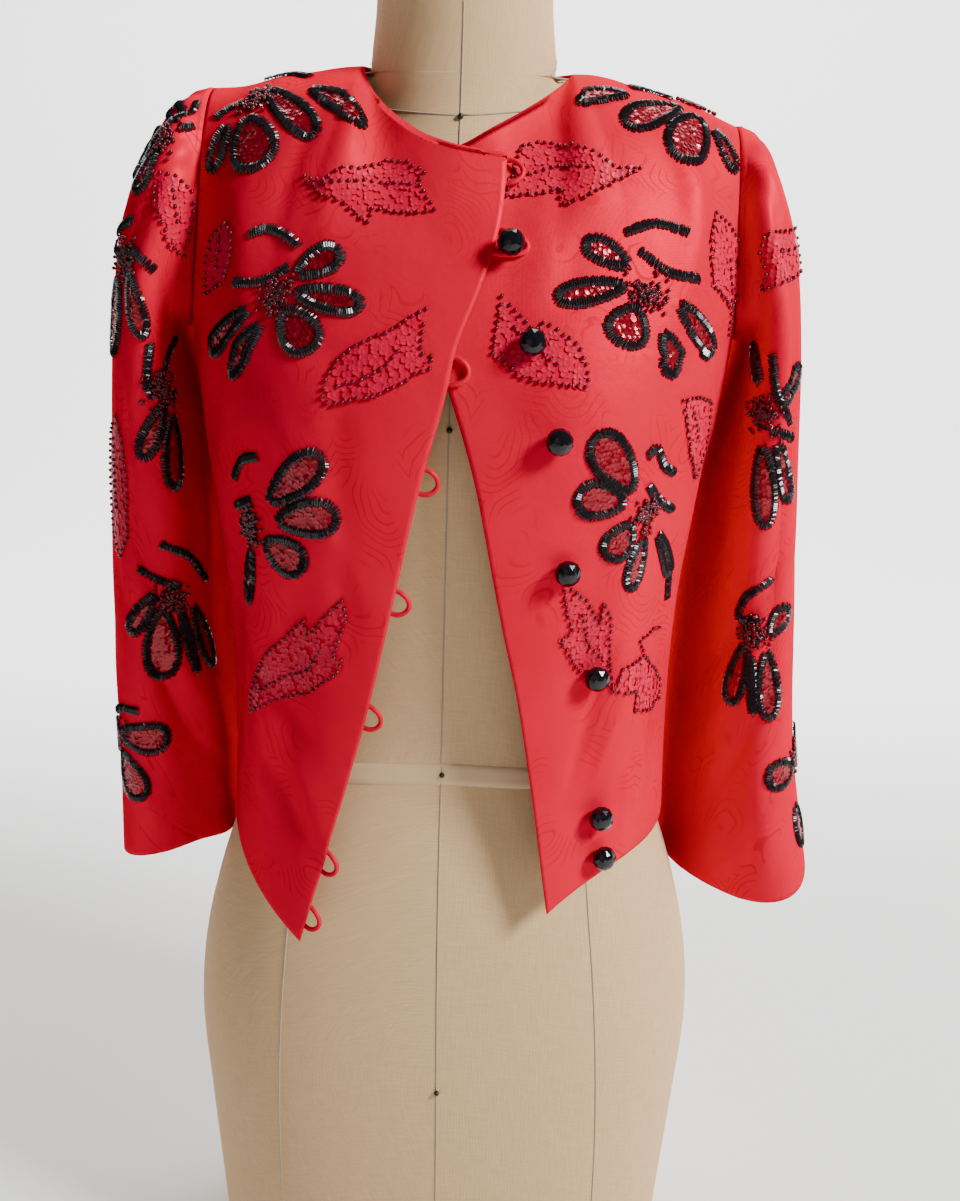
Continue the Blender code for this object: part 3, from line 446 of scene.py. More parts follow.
# Leaves: outline and vein as runs of places across and up from the leaf's centre, and how much is filled
LEAVES = {
    "right_neck": (
        (
            (-40, 10), (-30, 4), (-20, 11), (-10, 12), (6, 19), (15, 17), (26, 7), (22, 2), (30, -15),
            (17, -16), (-3, -11), (-5, -19), (-13, -13), (-18, -8), (-30, -3),
        ),
        ((-28, 3), (-8, 5), (8, 4), (22, 1)), 0.85,
    ),
    "right_breast": (
        (
            (24, 32), (18, 29), (7, 21), (-1, 17), (-14, 11), (-22, 4), (-28, -6), (-29, -17), (-24, -20),
            (-13, -17), (1, -14), (14, -6), (27, 1), (29, 8), (23, 8), (22, 15),
        ),
        ((-21, -10), (-8, -6), (5, 2), (15, 14)), 0.85,
    ),
    "right_armhole": (
        ((2, 20), (9, 14), (11, 0), (7, -12), (-10, -20), (-13, -4), (-9, 12)), ((-2, 12), (0, -10)), 0.95,
    ),
    "right_hem": (
        (
            (-42, -41), (-31, -12), (-20, 3), (5, 26), (7, 17), (29, 41), (31, 29), (22, 6), (28, 5),
            (25, -3), (7, -18), (-16, -27),
        ),
        ((-28, -24), (-15, -14), (7, -4), (17, 12)), 0.85,
    ),
    "left_neck": (
        (
            (-30, -21), (-30, -8), (-30, 12), (-21, 19), (-4, 19), (11, 16), (24, 12), (37, 17), (20, -2),
            (2, -18), (-2, -13), (-2, -7), (-12, -14),
        ),
        ((-21, -4), (-7, 6), (14, 7)), 0.85,
    ),
    "left_breast": (
        (
            (-22, 30), (-23, 15), (-25, 1), (-11, -10), (-1, -13), (12, -14), (26, -15), (26, -6), (21, 6),
            (16, 10), (2, 18), (-3, 13),
        ),
        ((-14, 14), (0, 2), (16, -8)), 0.85,
    ),
    "left_armhole": (
        (
            (-8, 22), (4, 15), (14, 5), (20, -10), (14, -24), (6, -29), (-8, -21), (-16, -16), (-17, -3),
            (-16, 10),
        ),
        ((2, -4), (7, -30), (6, -52)), 0.95,
    ),
    "left_side": (
        ((-17, 16), (-3, 17), (16, 11), (16, 5), (22, -16), (12, -34), (-4, -15), (-10, -1)),
        ((-6, 8), (6, -12)), 0.95,
    ),
    "left_hem": (
        (
            (-16, 34), (-16, 28), (-12, 12), (-9, 5), (-16, 0), (-12, -7), (-7, -17), (4, -24), (19, -34),
            (16, -19), (14, -1), (13, 12), (8, 21), (7, 8), (-2, 23),
        ),
        ((-4, 14), (1, -4), (13, -18)), 0.85,
    ),
    "left_hem_side": (
        ((-25, 0), (-3, -6), (-7, -18), (14, -22), (37, -21), (34, -8), (16, 4), (1, 16), (-20, 13)),
        ((1, 16), (-6, 27), (10, 30), (28, 26)), 0.85,
    ),
    "sleeve_head": (
        ((-10, 23), (2, 19), (15, 9), (12, -6), (6, -24), (-5, -17), (-8, -2), (-12, 13)),
        ((0, 12), (2, -12)), 0.95,
    ),
    "sleeve_side": (
        ((-2, 24), (3, 10), (3, -20), (0, -50), (-6, -62), (-16, -50), (-18, -10), (-12, 12)),
        ((-6, 10), (-8, -40)), 0.95,
    ),
    "left_sleeve_head": (
        ((30, 18), (12, 14), (-5, 11), (-8, 1), (-3, -12), (-8, -20), (12, -13), (28, -4)),
        ((4, 2), (22, 6)), 0.95,
    ),
}
# Where the leaves of each piece lie: x, y and height of the centre, leaf, and -1 where it is turned over
PLACED_LEAVES = {
    "right_front": (
        ((-44, -79, 732), "right_neck", 1), ((-39, -120, 644), "right_breast", 1),
        ((-131, -69, 693), "right_armhole", 1), ((-85, -104, 472), "right_hem", 1),
    ),
    "left_front": (
        ((60, -75, 742), "left_neck", 1), ((45, -116, 652), "left_breast", 1),
        ((150, -56, 703), "left_armhole", 1), ((136, -79, 611), "left_side", 1),
        ((79, -109, 494), "left_hem", 1), ((113, -83, 459), "left_hem_side", 1),
    ),
    "back": (
        ((-44, 88, 742), "left_neck", 1), ((50, 88, 742), "left_neck", -1),
        ((-108, 80, 605), "right_hem", -1), ((112, 80, 600), "right_hem", 1),
        ((-50, 106, 428), "left_hem", -1), ((60, 106, 425), "left_hem", 1),
    ),
    "right_sleeve": (
        ((-158, -54, 717), "sleeve_head", 1), ((-198, -46, 575), "sleeve_side", 1),
        ((-198, 70, 735), "right_breast", 1), ((-190, 88, 455), "left_hem", 1),
    ),
    "left_sleeve": (
        ((176, -57, 704), "left_sleeve_head", 1), ((212, 40, 555), "sleeve_side", -1),
        ((200, 90, 440), "left_hem", -1),
    ),
}

# Form: rounding of its ends, seam welts, waist tape and pins
END_ROUND = 3.0
END_ROWS = 7
END_HOLE = 0.02
WELT_RADIUS = 0.55
WELT_SIDES = 6
WELT_STEPS = 120
TAPE_WIDTH = 13.5
TAPE_THICKNESS = 0.35
NECK_SEAM_HEIGHT = 772.0
NECK_SEAM_SIDE = 14.0
NECK_SEAM_BACK = 30.0
NECK_SEAM_LEAN = 3.0
NECK_SEAM_BEND = 1.5
TAPE_HEIGHT = 397.3
TAPE_DIP = 12.0
TAPE_BEND = 1.2
# The tape's outline: share of its width up, share of its thickness out
TAPE_PROFILE = ((-0.5, -0.3), (-0.47, 1.0), (-0.2, 1.0), (0.2, 1.0), (0.47, 1.0), (0.5, -0.3))
PIN_RADIUS = 1.7
PIN_RINGS = 8
PIN_SIDES = 12
PIN_POLE = 0.12
PIN_OUT = 0.6
PINS = ((-0.2, 771.0), (-1.5, 609.5), (-2.5, 396.6), (-1.5, 188.4))
# Seams down the form: height, x
FORM_SEAMS = {
    "centre": ((830, 0.3), (640, -1.5), (322, -3), (103, -1), (4, -1)),
    "right_princess": ((540, -80), (400, -84), (288, -97), (198, -102.6), (83, -103.4), (4, -100)),
    "left_princess": ((540, 76), (400, 80), (313, 89), (248, 95.6), (88, 102.5), (4, 100)),
}

# Loops and buttons
LOOP_SIDES = 12
LOOP_CORD_SEEN = 2.9
LOOP_TUCK = 5.0
LOOP_TUCK_STEPS = 4
LOOP_STEPS = 24
LOOP_LIFT = (-2.0, 5.0)
SLEEVE_OUT_FADE = 14.0
CUT_SIDES = 11
# How far a loop's cord lies behind the front's surface, under its edge and beside it
UNDER_EDGE = 2.2
BESIDE_EDGE = 0.6

# Camera and light: the lens in millimetres, the rest in metres, radians and degrees
LENS = 41.43
SENSOR_WIDTH = 36.0
CAMERA_PLACE = (0.0175, -0.850, 0.747)
CAMERA_PITCH = 0.306
CAMERA_ROLL = 1.55
WORLD_WHITE = (1.0, 1.0, 1.0, 1.0)
WORLD_STRENGTH = 0.06
# Lights: name, place, aim, size, power
LIGHTS = (
    ("key", (2, -1.15, 2.3), (0, 0, 0.5), 0.7, 145),
    ("fill", (-0.6, -2.2, 1.2), (0, 0, 0.5), 1.2, 1.5),
    ("backdrop", (0, 1, 2.6), (0, 2.3, 0.9), 1.6, 75),
)
# Sweep in millimetres: places along the floor, its half width, the bend up into the backdrop, and its top
FLOOR_DEPTHS = (-7000.0, -1000.0, 0.0, 1200.0)
FLOOR_SIDE = 7000.0
SWEEP_START = 1500.0
SWEEP_RADIUS = 900.0
SWEEP_STEPS = 14
BACKDROP_TOP = 3600.0
# Glow of the sweep, and the y from which and to which it comes up, in metres
FLOOR_GLOW = 1.25
FLOOR_GLOW_FROM = (0.4, 1.2)

# Colours, linear: red, green, blue, full
SILK_RED = (0.74, 0.003, 0.036, 1.0)
SILK_RED_DEEP = (0.66, 0.002, 0.030, 1.0)
SILK_EDGE = (0.45, 0.01, 0.03, 1.0)
SILK_PATTERN = (0.54, 0.001, 0.015, 1.0)
WRONG_SIDE = (0.28, 0.004, 0.008, 1.0)
WRONG_SIDE_DEEP = (0.28, 0.003, 0.007, 1.0)
LINEN = (0.76, 0.50, 0.27, 1.0)
LINEN_DEEP = (0.64, 0.41, 0.21, 1.0)
TAPE = (0.76, 0.51, 0.29, 1.0)
THREAD = (0.42, 0.33, 0.23, 1.0)
BLACK_GLASS = (0.006, 0.005, 0.007, 1.0)
STRAND_BLACK = (0.012, 0.008, 0.010, 1.0)
SEED_RED = (0.13, 0.003, 0.010, 1.0)
SEQUIN_RED = (0.30, 0.002, 0.014, 1.0)
LEAF_SEQUIN_RED = (0.64, 0.003, 0.042, 1.0)
PIN_BLACK = (0.01, 0.01, 0.01, 1.0)
FLOOR_WHITE = (0.86, 0.86, 0.85, 1.0)


def curve(knots, values, at):
    """Cubic through the knots: each slope is the one between the knots on either side."""
    values = np.asarray(values, float)
    slopes = np.gradient(values, knots, axis=0)
    at = np.clip(at, knots[0], knots[-1])
    left = np.clip(np.searchsorted(knots, at, side="right") - 1, 0, len(knots) - 2)
    span = knots[left + 1] - knots[left]
    part = (at - knots[left]) / span
    if values.ndim == 2:
        part = part[..., None]
        span = span[..., None]
    start = (1 + 2 * part) * (1 - part) ** 2 * values[left]
    leave = part * (1 - part) ** 2 * span * slopes[left]
    end = part ** 2 * (3 - 2 * part) * values[left + 1]
    arrive = part ** 2 * (part - 1) * span * slopes[left + 1]
    return start + leave + end + arrive


def smooth_step(low, high, value):
    """0 below low, 1 above high, and a soft S between them."""
    share = np.clip((value - low) / (high - low), 0.0, 1.0)
    return share * share * (3.0 - 2.0 * share)


def unit(vectors):
    """Vectors over their lengths."""
    return vectors / np.linalg.norm(vectors, axis=-1, keepdims=True)


def full_turn(count):
    """Angles at even steps round a circle."""
    return np.arange(count) / count * 2 * np.pi


def turned(angle, first, second):
    """First way by the cosine of each angle and second way by its sine."""
    return np.cos(angle)[..., None] * first + np.sin(angle)[..., None] * second


def lengths_along(points, axis):
    """Distance walked along one axis of a grid of points."""
    steps = np.linalg.norm(np.diff(points, axis=axis), axis=-1)
    return np.concatenate([np.zeros_like(np.take(steps, [0], axis)), np.cumsum(steps, axis=axis)], axis=axis)


def evenly(points, shares):
    """Points of a curve at shares of its length."""
    walked = lengths_along(points, 0)
    return curve(walked / walked[-1], points, shares)


def width_share(angle):
    """Share of the half width: sine of the angle, squared off by a little of its third harmonic."""
    return (np.sin(angle) + SECTION_SQUARE * np.sin(3 * angle)) / (1 - SECTION_SQUARE)


def depth_share(angle):
    """Share of the depth: cosine of the angle, squared off in the same way."""
    return (np.cos(angle) - SECTION_SQUARE * np.cos(3 * angle)) / (1 - SECTION_SQUARE)


def angle_at(share):
    """Angle whose width share is the one given, by Newton's steps."""
    angle = np.arcsin(np.clip(share, -STEEPEST_SHARE, STEEPEST_SHARE))
    for _ in range(NEWTON_STEPS):
        slope = (np.cos(angle) + 3 * SECTION_SQUARE * np.cos(3 * angle)) / (1 - SECTION_SQUARE)
        angle = angle - (width_share(angle) - share) / slope
    return angle


def body_point(height, angle, front):
    """Point of the body at a height: half width times width share across, depth times depth share out."""
    centre = curve(BODY[:, 0], BODY[:, 1], height)
    half_width = curve(BODY[:, 0], BODY[:, 2], height)
    depth = curve(BODY[:, 0], BODY[:, 3 if front else 4], height)
    x = centre + half_width * width_share(angle)
    y = (-depth if front else depth) * depth_share(angle)
    if front:
        beside = (np.abs(x - centre) - BUST_X) / BUST_RADIUS
        above = (height - BUST_HEIGHT) / BUST_RADIUS
        y = y - JACKET_BUST_RISE * np.exp(-beside ** 2 - above ** 2)
    return np.stack([x, y, height], axis=-1)


def level_at(levels, up):
    """Heights at the inner edge or middle and at the outer edge, and that edge's angle, on the way up."""
    knots = (levels[:, 0] - levels[0, 0]) / (levels[-1, 0] - levels[0, 0])
    inner, outer, angle = (curve(knots, levels[:, column], up) for column in range(3))
    return inner, outer, np.radians(np.minimum(angle, 90.0))


def lower_front(across, up, side, levels, edge, bow):
    """Front below the chest: each row runs from the free edge's angle to the outer edge's angle."""
    edge_height, outer_height, outer_angle = level_at(levels, up)
    height = edge_height + (outer_height - edge_height) * (1.0 - (1.0 - across) ** bow)
    centre = curve(BODY[:, 0], BODY[:, 1], edge_height)
    half_width = curve(BODY[:, 0], BODY[:, 2], edge_height)
    edge_share = (curve(edge[:, 0], edge[:, 1], edge_height) - centre) / half_width
    edge_angle = angle_at(edge_share)
    return body_point(height, edge_angle + (side * outer_angle - edge_angle) * across, True)


def lower_back(across, up):
    """Back below the shoulder blades, from the right side seam at 0 to the left one at 1."""
    middle_height, outer_height, outer_angle = level_at(BACK_LEVELS, up)
    height = outer_height + (middle_height - outer_height) * (1.0 - np.abs(2.0 * across - 1.0) ** 2)
    return body_point(height, outer_angle * (2.0 * across - 1.0), False)


def rise_to(chest, climb, top, arrival, up):
    """Cubic Bezier up each column, from the chest row along its climb to the top edge along its arrival."""
    reach = np.linalg.norm(top - chest, axis=-1, keepdims=True)
    first = chest + climb * reach * CLIMB_HANDLE
    second = top - arrival * reach * ARRIVAL_HANDLE
    up = up[..., None]
    down = 1 - up
    return down ** 3 * chest + 3 * up * down ** 2 * first + 3 * up ** 2 * down * second + up ** 3 * top


def shoulder_line(rows):
    """Shoulder seam points with the seam's own y."""
    return np.stack([rows[:, 0], np.full(len(rows), SHOULDER_SEAM_Y), rows[:, 1]], axis=-1)


def joined_shares(counts):
    """Even shares for several stretches laid end to end, with a column on each corner."""
    total = sum(counts)
    return [np.arange(count + 1) / count for count in counts], np.arange(total + 1) / total


def piece_rows(lower, nearly, top, over, flat, neck_arrival, upper_rows):
    """Rows of a piece: the lower ones, those that rise from the chest to the top edge, and a strip beside the
    seam. The top edge is reached along the flat way where it has turned over, else along the neck's way."""
    arrival = unit(over[:, None] * flat + (1 - over[:, None]) * neck_arrival)
    up = np.linspace(0.0, 1.0, upper_rows + 1)[1:, None] * np.ones(len(top))
    upper = rise_to(lower[-1], unit(lower[-1] - nearly), top, arrival, up)
    return np.concatenate([lower, upper[:-1], [top - arrival * SEAM_STRIP], [top]])


def front_surface(shape, lower_rows, upper_rows, columns):
    """Grid of a front: rows from the hem up, columns from the free edge out to the side seam and armhole."""
    side, levels, edge, bow, neckline, shoulder = shape
    (neck_shares, shoulder_shares), across = joined_shares(columns)
    lower_up = np.linspace(0.0, 1.0, lower_rows + 1)
    lower = lower_front(across[None, :], lower_up[:, None], side, levels, edge, bow)
    nearly = lower_front(across[None, :], np.array([[CLIMB_FROM]]), side, levels, edge, bow)[0]
    seam = evenly(shoulder_line(shoulder), shoulder_shares)
    top = np.concatenate([evenly(neckline, neck_shares), seam[1:]])
    over = smooth_step(*FRONT_TURN_OVER, across)
    points = piece_rows(lower, nearly, top, over, np.array([0.0, 1.0, 0.0]), FRONT_NECK_ARRIVAL, upper_rows)
    points[..., 1] -= SEAM_GAP / 2
    return points


def tuck_under(points):
    """Left front set back under the right one, near its free edge above the crossing."""
    near_edge = 1.0 - smooth_step(*TUCK_X, points[..., 0])
    above = smooth_step(*TUCK_HEIGHT, points[..., 2])
    points[..., 1] += OVERLAP_STEP * near_edge * above
    return points


def back_surface(lower_rows, upper_rows, columns):
    """Grid of the back: rows from the hem up, columns from the right side seam to the left one."""
    stretches, across = joined_shares((columns[1], columns[0], columns[1]))
    lower_up = np.linspace(0.0, 1.0, lower_rows + 1)
    lower = lower_back(across[None, :], lower_up[:, None])
    nearly = lower_back(across[None, :], np.array([[CLIMB_FROM]]))[0]
    top = np.concatenate([
        evenly(shoulder_line(RIGHT_SHOULDER[::-1]), stretches[0]),
        evenly(BACK_NECKLINE, stretches[1])[1:],
        evenly(shoulder_line(LEFT_SHOULDER), stretches[2])[1:],
    ])
    over = smooth_step(*BACK_TURN_OVER, np.abs(across - 0.5))
    points = piece_rows(lower, nearly, top, over, np.array([0.0, -1.0, 0.0]), BACK_NECK_ARRIVAL, upper_rows)
    points[..., 1] += SEAM_GAP / 2
    return points


def armhole_edges(shape):
    """Armhole seam as two fine curves from the shoulder tip to the underarm, in front and behind."""
    side, levels = shape[:2]
    first_rows = []
    for rows in (levels[:, 0], BACK_LEVELS[:, 0]):
        share = (rows[UNDERARM_ROW] - rows[0]) / (rows[-1] - rows[0])
        first_rows.append(int(round(share * ARMHOLE_STEPS[0])))
    front = front_surface(shape, *ARMHOLE_STEPS, ARMHOLE_COLUMNS)[first_rows[0]:, -1]
    back = back_surface(*ARMHOLE_STEPS, ARMHOLE_COLUMNS)[first_rows[1]:, 0 if side < 0 else -1]
    return front[::-1], back[::-1]


def ring(rows, share, angle):
    """Ring of a sleeve through its outer, front, inner and back points: half the way across by the cosine,
    half the way through by the sine, with the front and back points' mean brought in by the sine squared."""
    outer, front, inner, back = (curve(rows[:, 0], rows[:, at:at + 3], share) for at in (1, 4, 7, 10))
    middle = (outer + inner) / 2
    cosine = np.cos(angle)[..., None]
    sine = np.sin(angle)[..., None]
    across = cosine * (outer - inner) / 2
    through = sine * (front - back) / 2
    return middle + across + through + sine ** 2 * ((front + back) / 2 - middle)


def sleeve_surface(side, rows, armhole, row_count, column_count):
    """Grid of a sleeve: rows from the armhole down, columns round it from the shoulder tip forward."""
    angle = full_turn(column_count)
    front, back = armhole
    half = angle <= np.pi
    seam = np.where(
        half[:, None],
        evenly(front, np.clip(angle / np.pi, 0, 1)),
        evenly(back, np.clip(2 - angle / np.pi, 0, 1)),
    )
    seam[:, 0] += side * ARMHOLE_GAP
    share = np.linspace(0.0, 1.0, row_count) ** SLEEVE_BUNCHING
    grid_share, grid_angle = np.meshgrid(share, angle, indexing="ij")
    free = ring(rows, grid_share, grid_angle)
    held = 1.0 - smooth_step(0.0, SLEEVE_HELD, grid_share)[..., None]
    points = free + held * (seam - ring(rows, np.zeros_like(angle), angle))[None]
    points[0] = seam
    strip = np.array([side * SEAM_STRIP, 0.0, 0.0])
    return np.concatenate([points[:1], seam[None] + strip, points[1:] + strip * held[1:]])


def steps_across(points, closed):
    """Steps from column to column of a grid, on round its ring where it is closed."""
    if not closed:
        return np.gradient(points, axis=1)
    padded = np.concatenate([points[:, -1:], points, points[:, :1]], axis=1)
    return np.gradient(padded, axis=1)[:, 1:-1]


def outward(points, closed):
    """Unit normals of a grid, from the cross product of its two directions."""
    return unit(np.cross(steps_across(points, closed), np.gradient(points, axis=0)))


def fold(points, rows, pinned, closed=False, turn=1.0):
    """Piece with its folds: soft ridges and troughs along straight lines in its own millimetres across and
    up, each a bell of its half width, fading at its ends and at the pinned seams."""
    across = lengths_along(points, 1)
    up = lengths_along(points, 0)
    height = np.zeros(points.shape[:2])
    for start_across, start_up, end_across, end_up, half_width, rise in rows:
        run = np.array([end_across - start_across, end_up - start_up])
        length = np.hypot(*run)
        run = run / length
        along = (across - start_across) * run[0] + (up - start_up) * run[1]
        off = (across - start_across) * run[1] - (up - start_up) * run[0]
        leaving = smooth_step(length - FOLD_FADE, length + FOLD_FADE, along)
        ends = smooth_step(-FOLD_FADE, FOLD_FADE, along) * (1 - leaving)
        height += rise * np.exp(-(off / half_width) ** 2) * ends
    from_edge = {"outer": across[:, -1:] - across, "inner": across, "top": up[-1:] - up, "start": up}
    for edge in pinned:
        height *= smooth_step(*(SLEEVE_FOLD_FADE if edge == "start" else SEAM_FADE), from_edge[edge])
    return points + turn * outward(points, closed) * height[..., None]


def gather(points, count, rise, reach, turn):
    """Sleeve head with its gathers: a cosine round the ring, strongest over the shoulder, fading down."""
    angle = full_turn(points.shape[1])
    over_shoulder = np.clip(np.cos(angle), 0, 1) ** GATHER_SPREAD
    down = lengths_along(points, 0)
    fade = smooth_step(*GATHER_START, down) * (1 - smooth_step(reach * GATHER_FULL_SHARE, reach, down))
    height = rise * over_shoulder * np.cos(count * 2 * angle) * fade
    return points + turn * outward(points, True) * height[..., None]


class Panel:
    """Cloth piece as a grid of points, rows by columns, with its outward normals."""

    def __init__(self, points, closed, turn):
        self.points = points
        self.closed = closed
        self.turn = turn
        self.normals = turn * outward(points, closed)
        self.across_steps = steps_across(points, closed)
        self.row_steps = np.gradient(points, axis=0)

    def between(self, grid, row, column):
        """Grid values between its points: the four corners, each weighted by how near it is."""
        rows, columns = grid.shape[:2]
        row = np.clip(row, 0, rows - 1 - INSIDE)
        column = column % columns if self.closed else np.clip(column, 0, columns - 1 - INSIDE)
        low = row.astype(int)
        left = column.astype(int) % columns
        right = (left + 1) % columns
        down = (row - low)[:, None]
        over = (column - np.floor(column))[:, None]
        lower = grid[low, left] * (1 - over) + grid[low, right] * over
        upper = grid[low + 1, left] * (1 - over) + grid[low + 1, right] * over
        return lower * (1 - down) + upper * down

    def lay(self, centre, flat):
        """Flat places laid on the piece. From the grid point nearest the centre, each place is walked to in
        small equal steps: its heading is turned into the tangent plane at every step, and the step is split
        between rows and columns there. Gives the points, their normals, and which are still on the piece."""
        away = ((self.points - np.asarray(centre, float)) ** 2).sum(-1)
        start = np.unravel_index(np.argmin(away), away.shape)
        row = np.full(len(flat), float(start[0]))
        column = np.full(len(flat), float(start[1]))
        normal = self.normals[start]
        up = unit(np.array([0.0, 0.0, 1.0]) - normal * normal[2])
        length = np.maximum(np.linalg.norm(flat, axis=-1, keepdims=True), TINY)
        heading = np.cross(up, normal) * flat[:, :1] + up * flat[:, 1:2]
        for _ in range(WALK_STEPS):
            across = self.between(self.across_steps, row, column)
            along = self.between(self.row_steps, row, column)
            normal = unit(np.cross(across, along))
            heading = heading - normal * (heading * normal).sum(-1, keepdims=True)
            heading = heading * length / np.maximum(np.linalg.norm(heading, axis=-1, keepdims=True), TINY)
            across_across = (across * across).sum(-1)
            along_along = (along * along).sum(-1)
            across_along = (across * along).sum(-1)
            size = (across_across * along_along - across_along ** 2) * WALK_STEPS
            over = (heading * across).sum(-1)
            ahead = (heading * along).sum(-1)
            column = column + (over * along_along - ahead * across_along) / size
            row = row + (ahead * across_across - over * across_along) / size
        rows, columns = away.shape
        held = (row > PANEL_RIM) & (row < rows - 1 - PANEL_RIM)
        if not self.closed:
            held &= (column > PANEL_RIM) & (column < columns - 1 - PANEL_RIM)
        return self.between(self.points, row, column), unit(self.between(self.normals, row, column)), held


def walked(path, step):
    """Places at an even step along a run of places, on a cubic through them, and the way it runs there."""
    fine = evenly(np.asarray(path, float), np.linspace(0, 1, PATH_STEPS * len(path)))
    length = lengths_along(fine, 0)[-1]
    shares = (np.arange(max(int(length / step), 1)) + 0.5) * step / length
    places = evenly(fine, shares)
    return places, unit(evenly(fine, shares + WAY_SHARE) - evenly(fine, shares - WAY_SHARE))


def petal_half_width(share):
    """Half width of a petal along its length: a half circle's root, swollen towards the tip."""
    return 2 * np.sqrt(np.clip(share * (1 - share), 0, 1)) * (0.5 + 0.5 * share) / PETAL_PEAK


def petal_frame(petal):
    """A petal's root, its ways along and across, and its length and width."""
    root, tip = petal[:2], petal[2:4]
    along = unit(tip - root)
    return root, along, np.array([-along[1], along[0]]), np.linalg.norm(tip - root), petal[4]


def petal_outline(petal):
    """Closed line down the middle of a petal's band: along by half a cosine, across by the half width."""
    root, along, across, length, width = petal_frame(petal)
    length = length - STRAND_SPAN
    width = width - STRAND_SPAN
    turn = np.linspace(0, 2 * np.pi, OUTLINE_STEPS + 1)[:, None]
    share = (1 - np.cos(turn)) / 2
    side = np.sign(np.sin(turn)) * petal_half_width(share) * width / 2
    return root + along * (STRAND_SPAN / 2 + share * length) + across * side


def petal_filling(petal, random):
    """Places for the sequins of a petal: a slanted grid, shaken a little, kept inside the band."""
    root, along, across, length, width = petal_frame(petal)
    length = length - 2 * STRAND_SPAN
    width = width - 2 * STRAND_SPAN + SEQUIN_RADIUS
    count = int(length / SEQUIN_STEP) + 2
    rows_across = np.arange(-SEQUIN_ROWS, SEQUIN_ROWS + 1)
    step_along, step_across = np.meshgrid(np.arange(count), rows_across, indexing="ij")
    place_along = (step_along + 0.5 * (step_across % 2)) * SEQUIN_STEP * SEQUIN_PACKING[0]
    place_across = step_across * SEQUIN_STEP * SEQUIN_PACKING[1]
    share = place_along / length
    inside = (share >= 0) & (share <= 1) & (np.abs(place_across) < petal_half_width(share) * width / 2)
    spots = np.stack([place_along[inside], place_across[inside]], axis=-1)
    spots = spots + random.normal(0, SEQUIN_SHAKE, spots.shape)
    return root + along * (STRAND_SPAN + spots[:, :1]) + across * spots[:, 1:]


def strands(panel, centre, places, ways, span, random):
    """Crosswise strands of a band: each one's two ends, laid on the piece, with a little unevenness."""
    count = len(places)
    over = turned(random.normal(0, STRAND_LEAN, count), np.stack([-ways[:, 1], ways[:, 0]], axis=-1), ways)
    half = span / 2 * random.uniform(*STRAND_UNEVEN, (count, 1))
    first, first_normal, held = panel.lay(centre, places - over * half)
    last, last_normal, also_held = panel.lay(centre, places + over * half)
    kept = held & also_held
    return first[kept], last[kept], unit(first_normal + last_normal)[kept]


def inside_outline(places, outline):
    """Which places lie inside a closed outline, by counting the edges to their right."""
    start = outline[None]
    end = np.roll(outline, -1, axis=0)[None]
    x, y = places[:, :1], places[:, 1:]
    spans = (start[..., 1] > y) != (end[..., 1] > y)
    rise = np.where(spans, end[..., 1] - start[..., 1], 1.0)
    cut = start[..., 0] + (y - start[..., 1]) / rise * (end[..., 0] - start[..., 0])
    return (spans & (cut > x)).sum(axis=1) % 2 == 1


class Beadwork:
    """The beads of one cloth piece, gathered up as places before they become meshes."""

    def __init__(self, panel, seed):
        self.panel = panel
        self.random = np.random.default_rng(seed)
        self.strand_ends = []
        self.sequins = []
        self.leaf_sequins = []
        self.seeds = []

    def band(self, centre, path):
        """Crosswise strands all along a path."""
        places, ways = walked(path, STRAND_STEP)
        self.strand_ends.append(strands(self.panel, centre, places, ways, STRAND_SPAN, self.random))

    def flower(self, centre, petals, strokes):
        """Petals outlined by bands and filled with sequins, feelers as bands, and a heap of beads in the
        middle."""
        for petal in petals:
            self.band(centre, petal_outline(petal))
            self.drop(self.sequins, centre, petal_filling(petal, self.random))
        for stroke in strokes:
            self.band(centre, stroke)
        heap = np.clip(self.random.normal(0, HEAP_STRAND_SPREAD, (HEAP_STRANDS, 2)), -HEAP_REACH, HEAP_REACH)
        ways = unit(self.random.normal(0, 1, (HEAP_STRANDS, 2)))
        self.strand_ends.append(strands(self.panel, centre, heap, ways, HEAP_STRAND_SPAN, self.random))
        heap = np.clip(self.random.normal(0, HEAP_SPREAD, (HEAP_SEEDS, 2)), -HEAP_REACH, HEAP_REACH)
        self.drop(self.seeds, centre, heap)

    def drop(self, kind, centre, places):
        """Places laid on the piece and kept where they are still on it."""
        spots, normals, held = self.panel.lay(centre, places)
        kind.append((spots[held], normals[held]))

    def leaf(self, centre, outline, vein, filled):
        """Leaf of spaced seed beads round its outline and along its vein, partly filled with sequins."""
        outline = np.asarray(outline, float)
        closed = np.concatenate([outline, outline[:1]])
        for run in (closed, np.asarray(vein, float)):
            walk = lengths_along(run, 0)
            length = walk[-1]
            at = np.arange(int(length / LEAF_SEED_STEP)) * LEAF_SEED_STEP
            places = np.stack([np.interp(at, walk, run[:, side]) for side in (0, 1)], axis=-1)
            self.drop(self.seeds, centre, places + self.random.normal(0, LEAF_SEED_SHAKE, places.shape))
        low, high = outline.min(axis=0), outline.max(axis=0)
        lines = [np.arange(low[side], high[side], LEAF_SEQUIN_STEP) for side in (0, 1)]
        places = np.stack(np.meshgrid(*lines), axis=-1).reshape(-1, 2)
        places = places + self.random.normal(0, LEAF_SEQUIN_SHAKE, places.shape)
        places = places[inside_outline(places, outline) & (self.random.random(len(places)) < filled)]
        self.drop(self.leaf_sequins, centre, places)


